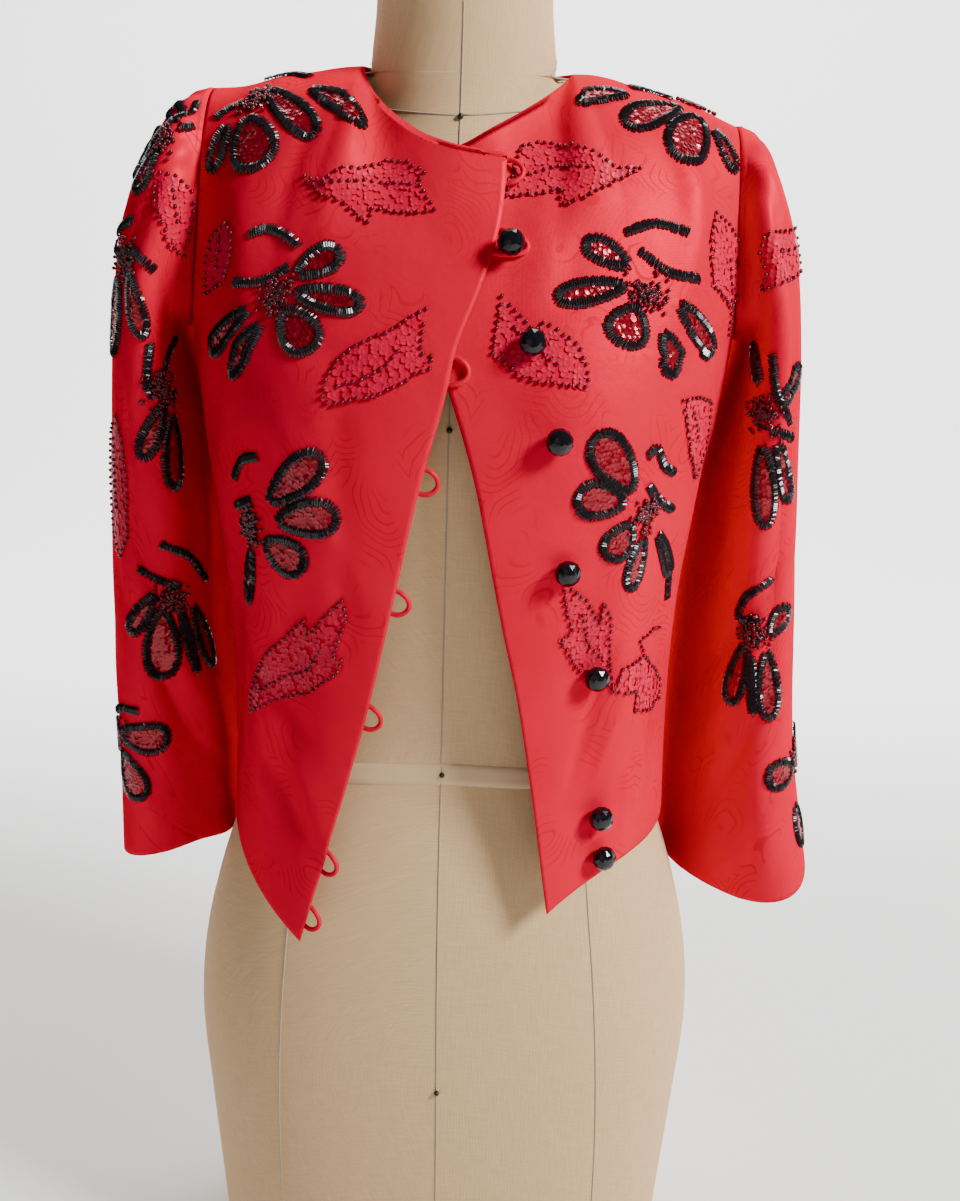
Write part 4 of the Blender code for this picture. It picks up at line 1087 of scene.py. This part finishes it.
def grid_faces(rows, columns, closed, flipped=False):
    """Quads of a grid, wound so that they face outwards."""
    row, column = np.meshgrid(np.arange(rows - 1), np.arange(columns - (not closed)), indexing="ij")
    low, beside = row * columns, (column + 1) % columns
    corners = [low + column, low + beside, low + columns + beside, low + columns + column]
    faces = np.stack(corners, axis=-1).reshape(-1, 4)
    return faces[:, ::-1] if flipped else faces


def capped(faces, rings, sides):
    """Faces of a closed grid, with a flat cap on its first ring and on its last."""
    last = (rings - 1) * sides
    return faces.tolist() + [list(range(sides))[::-1], list(range(last, last + sides))]


def new_object(name, vertices, faces, material, smooth=True):
    """Mesh object from arrays of millimetre points and of faces."""
    mesh = bpy.data.meshes.new(name)
    mesh.from_pydata((np.asarray(vertices).reshape(-1, 3) * MM).tolist(), [], [list(face) for face in faces])
    mesh.materials.append(material)
    if smooth:
        mesh.shade_smooth()
    piece = bpy.data.objects.new(name, mesh)
    bpy.context.scene.collection.objects.link(piece)
    return piece


def finish(piece, slot, *nodes):
    """Piece rides on the part and stands for its solids. The slot is not used."""
    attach(piece, "root")
    if nodes:
        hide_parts(*nodes)
    return piece


def lay_weave(piece, points, closed, flipped=False):
    """UV map in metres along the cloth: across and up the piece, from the lengths walked on its grid."""
    rows = len(points)
    whole = np.concatenate([points, points[:, :1]], axis=1) if closed else points
    across, up = lengths_along(whole, 1), lengths_along(whole, 0)
    row, column = np.meshgrid(np.arange(rows - 1), np.arange(whole.shape[1] - 1), indexing="ij")
    corners = [(row, column), (row, column + 1), (row + 1, column + 1), (row + 1, column)]
    if flipped:
        corners = corners[::-1]
    places = np.stack([np.stack([across[corner], up[corner]], axis=-1) for corner in corners], axis=2)
    layer = piece.data.uv_layers.new(name="weave")
    flat = np.zeros(2 * len(layer.data), np.float32)
    flat[:places.size] = places.reshape(-1) * MM
    layer.data.foreach_set("uv", flat)


def shell(name, panel, materials):
    """Thin cloth shell: the panel's grid, thickened inwards by Solidify, its underside in the second
    material."""
    faces = grid_faces(*panel.points.shape[:2], panel.closed, panel.turn < 0)
    piece = new_object(name, panel.points, faces, materials[0])
    piece.data.materials.append(materials[1])
    lay_weave(piece, panel.points, panel.closed, panel.turn < 0)
    wall = piece.modifiers.new("cloth wall", "SOLIDIFY")
    wall.thickness = SHELL_WALL * MM
    wall.offset = -1.0
    wall.use_rim = True
    wall.material_offset = 1
    return piece


def tubes(centres, sides_way, normals, radii, count):
    """Many short tubes at once: rings of points round each centre, turned between the normal and the sideways
    way. Returns the points and the faces with a cap at each end."""
    tube_count, ring_count = centres.shape[:2]
    round_way = turned(full_turn(count), normals[:, None, None, :], sides_way[:, None, None, :])
    points = centres[:, :, None, :] + radii[None, :, None, None] * round_way
    quads = grid_faces(ring_count, count, True, True)
    caps = [range(count), range(ring_count * count - 1, (ring_count - 1) * count - 1, -1)]
    start = np.arange(tube_count)[:, None, None] * ring_count * count
    quads = (quads[None] + start).reshape(-1, 4).tolist()
    ends = (np.array(caps)[None] + start).reshape(-1, count).tolist()
    return points.reshape(-1, 3), quads + ends


def joined(groups):
    """Arrays of many groups, each kind laid end to end."""
    return [np.concatenate(kind) for kind in zip(*groups)]


def strand_mesh(name, ends, material):
    """Crosswise strands as arched five-sided tubes: each centre line is the straight line between its ends,
    lifted along the normal by a parabola."""
    first, last, normal = joined(ends)
    share = np.array(STRAND_SHARES)
    lift = STRAND_RADIUS * STRAND_SEAT + STRAND_RISE * 4 * share * (1 - share)
    centres = first[:, None] + (last - first)[:, None] * share[:, None] + normal[:, None] * lift[:, None]
    way = unit(last - first)
    side = unit(np.cross(normal, way))
    radii = STRAND_RADIUS * np.array(STRAND_TAPER)
    points, faces = tubes(centres, side, unit(np.cross(way, side)), radii, STRAND_SIDES)
    return new_object(name, points, faces, material, smooth=False)


def tangents(normals, random):
    """Two ways across each normal, turned at random about it."""
    rough = random.normal(0, 1, normals.shape)
    first = unit(rough - normals * (rough * normals).sum(-1, keepdims=True))
    return first, np.cross(normals, first)


def seed_mesh(name, spots, material, random):
    """Round seed beads as six-sided barrels lying on the cloth, with their holes along it."""
    centres, normals = joined(spots)
    way, side = tangents(normals, random)
    share = np.array(SEED_SHARES) * SEED_RADIUS
    middles = centres[:, None] + normals[:, None] * SEED_RADIUS * SEED_SEAT + way[:, None] * share[:, None]
    points, faces = tubes(middles, side, normals, SEED_RADIUS * np.array(SEED_TAPER), SEED_SIDES)
    return new_object(name, points, faces, material)


def sequin_mesh(name, spots, material, lean, random):
    """Sequins as thin cupped discs: an eight-sided cone above and below, each leaning a little its own
    way."""
    centres, normals = joined(spots)
    normals = unit(normals + random.normal(0, lean, normals.shape))
    way, side = tangents(normals, random)
    size = SEQUIN_RADIUS * random.uniform(*SEQUIN_UNEVEN, (len(centres), 1, 1))
    flat = turned(full_turn(SEQUIN_SIDES), way[:, None], side[:, None])
    rim_height, top_height, under_height = SEQUIN_HEIGHTS
    rim = centres[:, None] + normals[:, None] * rim_height + size * flat
    top = (centres + normals * top_height)[:, None]
    under = (centres + normals * under_height)[:, None]
    points = np.concatenate([rim, top, under], axis=1)
    step = np.arange(SEQUIN_SIDES)
    beside = (step + 1) % SEQUIN_SIDES
    upper = np.stack([step, beside, np.full(SEQUIN_SIDES, SEQUIN_SIDES)], axis=-1)
    lower = np.stack([beside, step, np.full(SEQUIN_SIDES, SEQUIN_SIDES + 1)], axis=-1)
    start = np.arange(len(centres))[:, None, None] * (SEQUIN_SIDES + 2)
    faces = (np.concatenate([upper, lower])[None] + start).reshape(-1, 3).tolist()
    return new_object(name, points, faces, material, smooth=False)


def node(tree, kind, settings=None, **inputs):
    """Shader node with its settings, and its inputs set to values or linked to other nodes' outputs."""
    made = tree.nodes.new(kind)
    for key, value in (settings or {}).items():
        setattr(made, key, value)
    for key, value in inputs.items():
        socket = made.inputs[int(key[1:])] if key[1:].isdigit() else made.inputs[key.replace("_", " ")]
        if isinstance(value, bpy.types.NodeSocket):
            tree.links.new(value, socket)
        else:
            socket.default_value = value
    return made


def maths(tree, operation, first, second=0.0):
    """Result of an operation on two values."""
    return node(tree, "ShaderNodeMath", {"operation": operation}, i0=first, i1=second).outputs[0]


def span(tree, value, low, high, start, end):
    """Value between low and high mapped softly onto start to end."""
    settings = {"interpolation_type": "SMOOTHSTEP"}
    return node(tree, "ShaderNodeMapRange", settings, i0=value, i1=low, i2=high, i3=start, i4=end).outputs[0]


def blend(tree, share, first, second):
    """Colour between two colours."""
    return node(tree, "ShaderNodeMix", {"data_type": "RGBA"}, i0=share, i6=first, i7=second).outputs[2]


def noise(tree, place, scale, detail, **inputs):
    """Grey noise at a place."""
    made = node(tree, "ShaderNodeTexNoise", None, Vector=place, Scale=scale, Detail=detail, **inputs)
    return made.outputs[0]


def wave(tree, place, direction, scale):
    """Even bands across a direction."""
    settings = {"bands_direction": direction}
    return node(tree, "ShaderNodeTexWave", settings, Vector=place, Scale=scale).outputs["Fac"]


def surface(name, colour, roughness, **inputs):
    """Material with one Principled shader, its even values on the shader's own sockets."""
    made = bpy.data.materials.new(name)
    made.use_nodes = True
    shader = made.node_tree.nodes["Principled BSDF"]
    for key, value in {"Base_Color": colour, "Roughness": roughness, **inputs}.items():
        shader.inputs[key.replace("_", " ")].default_value = value
    return made, made.node_tree, shader


def cloth_surface(name, colour, roughness, **inputs):
    """Material of a cloth, with the place on its weave."""
    made, tree, shader = surface(name, colour, roughness, **inputs)
    return made, tree, shader, node(tree, "ShaderNodeUVMap", {"uv_map": "weave"}).outputs[0]


def bumped(tree, shader, height, strength, distance):
    """Shader's normal bent by a height."""
    bump = node(tree, "ShaderNodeBump", None, Strength=strength, Distance=distance, Height=height)
    tree.links.new(bump.outputs[0], shader.inputs["Normal"])


def silk_material():
    """Bright red satin with a faint woven pattern: thin arcs at even steps round scattered centres, shown
    where a slow noise lets them, duller and a little darker than the ground, over a fine weave."""
    made, tree, shader, cloth = cloth_surface(
        "red silk", SILK_RED, 0.5, Specular_IOR_Level=0.0, Metallic=0.18, Specular_Tint=SILK_EDGE,
    )
    swirl = node(tree, "ShaderNodeTexNoise", None, Vector=cloth, Scale=30.0, Detail=1.0).outputs["Color"]
    bent = node(tree, "ShaderNodeMix", {"data_type": "VECTOR"}, i0=0.022, i4=cloth, i5=swirl).outputs[1]
    rings = node(tree, "ShaderNodeTexVoronoi", {"feature": "F1"}, Vector=bent, Scale=26.0).outputs["Distance"]
    lines = span(tree, maths(tree, "SINE", maths(tree, "MULTIPLY", rings, 62.0)), 0.6, 0.95, 0.0, 1.0)
    gate = span(tree, noise(tree, cloth, 30.0, 0.0), 0.5, 0.62, 0.0, 1.0)
    pattern = maths(tree, "MULTIPLY", lines, gate)
    slow = span(tree, noise(tree, cloth, 9.0, 2.0), 0.35, 0.65, 0.0, 1.0)
    ground = blend(tree, slow, SILK_RED, SILK_RED_DEEP)
    colour = blend(tree, maths(tree, "MULTIPLY", pattern, 0.5), ground, SILK_PATTERN)
    tree.links.new(colour, shader.inputs["Base Color"])
    tree.links.new(span(tree, pattern, 0.0, 1.0, 0.46, 0.60), shader.inputs["Roughness"])
    threads = maths(tree, "ADD", wave(tree, cloth, "X", 460.0), wave(tree, cloth, "Y", 380.0))
    drape = noise(tree, cloth, 17.0, 2.0, Distortion=0.6)
    soft = maths(tree, "ADD", noise(tree, cloth, 70.0, 3.0), maths(tree, "MULTIPLY", drape, 3.0))
    height = maths(tree, "ADD", maths(tree, "MULTIPLY", threads, 0.06), soft)
    bumped(tree, shader, height, 0.35, 0.0012)
    return made


def wrong_side_material():
    """Inside of the silk: duller and browner, with a soft unevenness."""
    made, tree, shader, cloth = cloth_surface("silk wrong side", WRONG_SIDE, 0.7, Specular_IOR_Level=0.0)
    weave = noise(tree, cloth, 120.0, 3.0)
    colour = blend(tree, span(tree, weave, 0.3, 0.7, 0.0, 1.0), WRONG_SIDE, WRONG_SIDE_DEEP)
    tree.links.new(colour, shader.inputs["Base Color"])
    bumped(tree, shader, weave, 0.2, 0.0008)
    return made


def floor_material():
    """Pale sweep that glows a little behind the form, so that it stays pale under the soft light."""
    made, tree, shader = surface(
        "pale floor", FLOOR_WHITE, 0.9, Specular_IOR_Level=0.0, Emission_Color=WORLD_WHITE,
    )
    place = node(tree, "ShaderNodeTexCoord").outputs["Object"]
    behind = node(tree, "ShaderNodeSeparateXYZ", None, Vector=place).outputs["Y"]
    glow = span(tree, behind, *FLOOR_GLOW_FROM, 0.0, FLOOR_GLOW)
    tree.links.new(glow, shader.inputs["Emission Strength"])
    return made


def linen_material():
    """Natural linen: threads across and up as fine waves, thick and thin places as noise stretched along
    them."""
    made, tree, shader, cloth = cloth_surface("form linen", LINEN, 0.9, Specular_IOR_Level=0.2)
    threads = []
    for stretch, direction in (((1.0, 0.07, 1.0), "X"), ((0.07, 1.0, 1.0), "Y")):
        along = node(tree, "ShaderNodeMapping", None, Vector=cloth, Scale=stretch).outputs[0]
        thick = maths(tree, "MULTIPLY", wave(tree, cloth, direction, 330.0), 0.35)
        threads.append(maths(tree, "ADD", noise(tree, along, 900.0, 2.0), thick))
    weave = maths(tree, "MULTIPLY", maths(tree, "ADD", *threads), 0.5)
    colour = blend(tree, span(tree, weave, 0.5, 0.9, 0.0, 1.0), LINEN_DEEP, LINEN)
    tree.links.new(colour, shader.inputs["Base Color"])
    bumped(tree, shader, weave, 0.35, 0.0006)
    return made


def form_points(rows_a_span, columns):
    """Torso of the form: rings up its section table, rounded out by the neck where that is deeper (both
    depths joined by their fourth powers), never narrower than the neck, with a soft bust."""
    angle = full_turn(columns)
    knots = np.arange(len(FORM))
    height = curve(knots, FORM[:, 0], np.linspace(0, knots[-1], rows_a_span * knots[-1] + 1))
    (half_width, front, back), (neck_width, neck_front, neck_back) = (
        [curve(table[:, 0], table[:, column], height)[:, None] for column in (1, 2, 3)]
        for table in (FORM, FORM_NECK)
    )
    x = np.maximum(half_width, neck_width) * width_share(angle)[None]
    facing = depth_share(angle)[None]
    torso = np.where(facing > 0, -front, back) * np.abs(facing)
    neck = np.where(facing > 0, -neck_front, neck_back) * np.sqrt(np.clip(1 - (x / neck_width) ** 2, 0, 1))
    y = -np.sign(facing) * (torso ** 4 + neck ** 4) ** 0.25
    level = height[:, None] * np.ones_like(x)
    off_bust = ((np.abs(x) - BUST_X) / BUST_RADIUS) ** 2 + ((level - BUST_HEIGHT) / BUST_RADIUS) ** 2
    y = y - FORM_BUST_RISE * np.exp(-off_bust) * smooth_step(*FORM_BUST_FACING, facing)
    return np.stack([x, y, level], axis=-1)


def form_cover(linen):
    """Linen cover of the form, with rounded edges at its neck top and its underside, each closed by a flat
    end."""
    side = form_points(*FORM_GRID[::-1])
    bend = np.linspace(0, np.pi / 2, END_ROWS)[1:]
    ends = []
    for edge, sign in ((side[-1], 1.0), (side[0], -1.0)):
        middle = edge.mean(axis=0)
        out = edge - middle
        radius = np.linalg.norm(out, axis=-1)[None, :, None]
        shrink = 1 - END_ROUND * (1 - np.cos(bend))[:, None, None] / radius
        rows = middle + out * shrink
        rows[..., 2] = edge[:, 2] - sign * END_ROUND * (1 - np.sin(bend))[:, None]
        flat = middle + (rows[-1] - middle) * np.linspace(1, END_HOLE, END_ROWS)[1:, None, None]
        ends.append(np.concatenate([rows, flat]))
    top, bottom = ends
    kept = (side[:, 0, 2] < side[-1, 0, 2] - END_ROUND) & (side[:, 0, 2] > side[0, 0, 2] + END_ROUND)
    points = np.concatenate([bottom[::-1], side[kept], top])
    size = points.shape[:2]
    piece = new_object("form_cover", points, capped(grid_faces(*size, True), *size), linen)
    lay_weave(piece, points, True)
    return Panel(side, True, 1.0), piece


def tube_along(name, path, radius, sides, material, around):
    """Round tube along a path of points, closed at both ends, its rings turned with the path."""
    way = unit(np.gradient(path, axis=0))
    normal = unit(around - way * (around * way).sum(-1, keepdims=True))
    side = np.cross(way, normal)
    points = path[:, None] + radius * turned(full_turn(sides), normal[:, None], side[:, None])
    size = points.shape[:2]
    return new_object(name, points, capped(grid_faces(*size, True), *size), material)


def front_spot(panel, x, height):
    """Point and normal of a panel's front surface at an x and a height, on its nearest point's plane."""
    points = panel.points
    behind = np.where(points[..., 1] < 0, 0, FAR_BEHIND)
    away = (points[..., 0] - x) ** 2 + (points[..., 2] - height) ** 2 + behind
    row, column = np.unravel_index(np.argmin(away), away.shape)
    spot, normal = points[row, column], panel.normals[row, column]
    gap = np.array([x - spot[0], 0.0, height - spot[2]])
    gap[1] = -(normal[0] * gap[0] + normal[2] * gap[2]) / normal[1]
    return spot + gap, normal


def form_seam(name, form, rows, thread):
    """Welt down the form: a thin tube half sunk in the cover, through the seam's places."""
    rows = np.array(rows)[::-1]
    height = np.linspace(rows[0, 0], rows[-1, 0], WELT_STEPS)
    x = curve(rows[:, 0], rows[:, 1], height)
    path, normals = map(np.array, zip(*(front_spot(form, *place) for place in zip(x, height))))
    return finish(tube_along(name, path, WELT_RADIUS, WELT_SIDES, thread, normals), "linen")


def round_form(form, height):
    """Points and normals of the form at a height for each column of its grid, row by row."""
    level = form.points[:, 0, 2]
    row = np.interp(height, level, np.arange(len(level)))
    column = np.broadcast_to(np.arange(height.shape[-1], dtype=float), height.shape)
    return [
        form.between(grid, row.ravel(), column.ravel()).reshape(*height.shape, 3)
        for grid in (form.points, form.normals)
    ]


def waist_tape(form, tape):
    """Twill tape round the waist: a thin band with rounded edges that dips a little towards the sides."""
    angle = full_turn(form.points.shape[1])
    centre = TAPE_HEIGHT - TAPE_DIP * np.abs(np.sin(angle)) ** TAPE_BEND
    rise, out = np.array(TAPE_PROFILE).T[..., None]
    spots, normals = round_form(form, centre[None] + rise * TAPE_WIDTH)
    points = spots + unit(normals) * (out * TAPE_THICKNESS)[..., None]
    faces = grid_faces(*points.shape[:2], True)
    return finish(new_object("waist_tape", points, faces, tape), "linen")


def neck_seam(form, thread):
    """Seam round the form's neck: lowest in front, higher at the sides and highest behind."""
    angle = full_turn(form.points.shape[1])
    rise = NECK_SEAM_SIDE * np.abs(np.sin(angle)) ** NECK_SEAM_BEND + NECK_SEAM_BACK * (1 - np.cos(angle)) / 2
    path, normals = round_form(form, NECK_SEAM_HEIGHT + rise + NECK_SEAM_LEAN * np.sin(angle))
    path, normals = np.concatenate([path, path[:1]]), unit(np.concatenate([normals, normals[:1]]))
    return finish(tube_along("neck_seam", path, WELT_RADIUS, WELT_SIDES, thread, normals), "linen")


def ball(name, spot, radius, material):
    """Round head of a pin: rings from pole to pole, closed by a small face at each."""
    tilt = np.linspace(PIN_POLE, np.pi - PIN_POLE, PIN_RINGS)[:, None]
    turn = full_turn(PIN_SIDES)[None]
    x, y, z = np.sin(tilt) * np.cos(turn), np.sin(tilt) * np.sin(turn), -np.cos(tilt) * np.ones_like(turn)
    points = spot + radius * np.stack([x, y, z], axis=-1)
    faces = capped(grid_faces(PIN_RINGS, PIN_SIDES, True), PIN_RINGS, PIN_SIDES)
    return finish(new_object(name, points, faces, material), "button_glass")


def cut_button(name, front, x, height, shank, glass):
    """Cut glass button: rings of its half outline, each turned half a step from the one before, joined by
    flat triangles, on a round shank."""
    spot, normal = front_spot(front, x, height)
    radius = np.concatenate([[SHANK_RADIUS, SHANK_RADIUS], BUTTON_PROFILE[:, 0] * BUTTON_RADIUS])
    level = np.concatenate([[SEAM_GAP, shank], BUTTON_PROFILE[:, 1] + shank])
    rings = len(radius)
    step = 2 * np.pi / CUT_SIDES
    turn = (np.arange(CUT_SIDES)[None] + np.arange(rings)[:, None] / 2) * step
    way = unit(np.cross(normal, [0.0, 0.0, 1.0]))
    flat = turned(turn, way, np.cross(normal, way))
    points = spot + radius[:, None, None] * flat + level[:, None, None] * normal
    ring, place = np.meshgrid(np.arange(rings - 1), np.arange(CUT_SIDES), indexing="ij")
    low, beside = ring * CUT_SIDES + place, ring * CUT_SIDES + (place + 1) % CUT_SIDES
    first = np.stack([low, beside, low + CUT_SIDES], axis=-1).reshape(-1, 3)
    second = np.stack([beside, beside + CUT_SIDES, low + CUT_SIDES], axis=-1).reshape(-1, 3)
    faces = capped(np.concatenate([first, second]), rings, CUT_SIDES)
    return finish(new_object(name + "_glass", points, faces, glass, smooth=False), "button_glass", name)


def button_loop(name, front, height, reach, silk):
    """Loop of turned silk cord off the right front's edge: half an ellipse whose ends run back under the
    edge."""
    edge = front[:, 0]
    row = min(max(int(np.argmin(np.abs(edge[:, 2] - height))), 1), len(edge) - 2)
    share = (height - edge[row, 2]) / (edge[row + 1, 2] - edge[row, 2])
    spot = edge[row] + share * (edge[row + 1] - edge[row])
    up = unit(edge[row + 1] - edge[row - 1])
    away = unit(front[row, 0] - front[row, 2])
    away = unit(away - up * np.dot(away, up))
    normal = unit(np.cross(up, away))
    normal = -normal if normal[1] > 0 else normal
    turn = np.linspace(0.0, np.pi, LOOP_STEPS + 1)[:, None]
    bow = up * LOOP_HALF_LENGTH * np.cos(turn) + away * reach * np.sin(turn)
    tuck = np.linspace(1.0, 0.0, LOOP_TUCK_STEPS + 1)[:-1, None] * -LOOP_TUCK * away
    path = np.concatenate([tuck + bow[0], bow, tuck[::-1] + bow[-1]])
    inside = smooth_step(*LOOP_LIFT, path @ away)[:, None]
    path = spot + path - normal * (UNDER_EDGE * (1 - inside) + BESIDE_EDGE * inside)
    normals = np.tile(normal, (len(path), 1))
    cord = tube_along(name + "_cord", path, LOOP_CORD_SEEN / 2, LOOP_SIDES, silk, normals)
    return finish(cord, "silk", name)


def outer_side(points, turn):
    """Outer surface of a sleeve, whose grid is its inside: moved out by the wall's thickness below the
    seam."""
    fade = smooth_step(0.0, SLEEVE_OUT_FADE, lengths_along(points, 0))[..., None]
    return points + turn * outward(points, True) * CLOTH_WALL * fade


def cloth_panels():
    """The five cloth pieces as panels."""
    panels = {}
    for word, shape in FRONT_SHAPES.items():
        side = shape[0]
        front = front_surface(shape, *FRONT_GRID[1], FRONT_GRID[0])
        front = tuck_under(front) if side > 0 else front
        front = fold(front, FOLDS[word + "_front"], ("outer", "top"), turn=side)
        panels[word + "_front"] = Panel(front, False, side)
    back = fold(back_surface(*BACK_GRID[1], BACK_GRID[0]), FOLDS["back"], ("outer", "inner", "top"), turn=-1)
    panels["back"] = Panel(back, False, -1)
    for word, shape in FRONT_SHAPES.items():
        side = shape[0]
        sleeve = sleeve_surface(side, SLEEVES[word], armhole_edges(shape), *SLEEVE_GRID)
        sleeve = gather(sleeve, *GATHERS[word], side)
        sleeve = fold(sleeve, FOLDS[word + "_sleeve"], ("start",), closed=True, turn=side)
        panels[word + "_sleeve"] = Panel(outer_side(sleeve, side), True, side)
    return panels


def beadwork(panels):
    """Beads of every panel: strands, sequins and seed beads, each a piece of its own."""
    black = surface("black strands", STRAND_BLACK, 0.2, Specular_IOR_Level=0.35)[0]
    foil = surface("red sequins", SEQUIN_RED, 0.22, Metallic=0.4)[0]
    leaf_foil = surface("clear red sequins", LEAF_SEQUIN_RED, 0.4, Specular_IOR_Level=0.15)[0]
    seed = surface("dark red seed beads", SEED_RED, 0.2, Specular_IOR_Level=0.4)[0]
    pieces = {}
    for number, (name, panel) in enumerate(panels.items(), start=FIRST_SEED):
        work = Beadwork(panel, number)
        for centre, flower, mirror in PLACED_FLOWERS[name]:
            petals, strokes = FLOWERS[flower]
            sides = np.array([mirror, 1.0, mirror, 1.0, 1.0])
            work.flower(centre, np.array(petals) * sides, [np.array(run) * sides[:2] for run in strokes])
        for centre, leaf, mirror in PLACED_LEAVES[name]:
            outline, vein, filled = LEAVES[leaf]
            work.leaf(centre, np.array(outline) * (mirror, 1.0), np.array(vein) * (mirror, 1.0), filled)
        random = work.random
        kinds = (
            strand_mesh(name + "_strands", work.strand_ends, black),
            sequin_mesh(name + "_sequins", work.sequins, foil, PETAL_SEQUIN_LEAN, random),
            sequin_mesh(name + "_leaf_sequins", work.leaf_sequins, leaf_foil, LEAF_SEQUIN_LEAN, random),
            seed_mesh(name + "_seeds", work.seeds, seed, random),
        )
        pieces[name] = [finish(piece, "button_glass") for piece in kinds]
    return pieces


def stage(floor_white):
    """Pale sweep: a floor that bends up into a backdrop."""
    bend = np.linspace(0, np.pi / 2, SWEEP_STEPS)
    back = SWEEP_START + SWEEP_RADIUS
    y = np.concatenate([FLOOR_DEPTHS, SWEEP_START + SWEEP_RADIUS * np.sin(bend), [back]])
    z = np.concatenate([np.zeros(len(FLOOR_DEPTHS)), SWEEP_RADIUS * (1 - np.cos(bend)), [BACKDROP_TOP]])
    x = np.tile([-FLOOR_SIDE, FLOOR_SIDE], (len(y), 1))
    points = np.stack([x, np.tile(y[:, None], (1, 2)), np.tile(z[:, None], (1, 2))], axis=-1)
    new_object("floor", points, grid_faces(len(y), 2, False), floor_white)


def light(name, place, aim, size, power):
    """Square soft light at a place in metres, turned to face the aim."""
    data = bpy.data.lights.new(name, "AREA")
    data.size = size
    data.energy = power
    lamp = bpy.data.objects.new(name, data)
    bpy.context.scene.collection.objects.link(lamp)
    lamp.location = place
    lamp.rotation_euler = (Vector(aim) - Vector(place)).to_track_quat("-Z", "Y").to_euler()


def world_light():
    """Weak even light from all round."""
    world = bpy.data.worlds.new("studio")
    bpy.context.scene.world = world
    world.use_nodes = True
    background = world.node_tree.nodes["Background"]
    background.inputs["Color"].default_value = WORLD_WHITE
    background.inputs["Strength"].default_value = WORLD_STRENGTH


def view():
    """Camera of the main view, turned up from straight down by a right angle less its pitch, and rolled."""
    camera = bpy.data.objects.new("camera", bpy.data.cameras.new("camera"))
    bpy.context.scene.collection.objects.link(camera)
    camera.data.sensor_width = SENSOR_WIDTH
    camera.data.lens = LENS
    camera.matrix_world = (
        Matrix.Translation(CAMERA_PLACE)
        @ Matrix.Rotation(math.pi / 2 - CAMERA_PITCH, 4, "X")
        @ Matrix.Rotation(math.radians(CAMERA_ROLL), 4, "Z")
    )
    bpy.context.scene.camera = camera


def main():
    """Form, jacket, beads and fastenings, then the stage, the light and the camera."""
    silk, wrong_side, linen = silk_material(), wrong_side_material(), linen_material()
    thread = surface("form seam thread", THREAD, 0.9)[0]
    tape = surface("waist tape", TAPE, 0.85)[0]
    glass = surface("black glass", BLACK_GLASS, 0.08, Specular_IOR_Level=0.4)[0]
    pin = surface("pin heads", PIN_BLACK, 0.3)[0]

    form, cover = form_cover(linen)
    finish(cover, "linen", "dress_form")
    for name, rows in FORM_SEAMS.items():
        form_seam(name + "_seam", form, rows, thread)
    neck_seam(form, thread)
    waist_tape(form, tape)
    for number, (x, height) in enumerate(PINS, start=1):
        spot, normal = front_spot(form, x, height)
        ball(f"pin_{number}", spot + normal * PIN_RADIUS * PIN_OUT, PIN_RADIUS, pin)

    panels = cloth_panels()
    beads = beadwork(panels)
    for name, panel in panels.items():
        piece = finish(shell(name + "_silk", panel, (silk, wrong_side)), "silk", name)
    for number, (x, height, shank) in enumerate(BUTTONS, start=1):
        cut_button(f"button_{number}", panels["left_front"], x, height, shank, glass)
    for number, (height, reach) in enumerate(LOOPS, start=1):
        button_loop(f"loop_{number}", panels["right_front"].points, height, reach, silk)

    stage(floor_material())
    for row in LIGHTS:
        light(*row)
    world_light()
    view()


main()
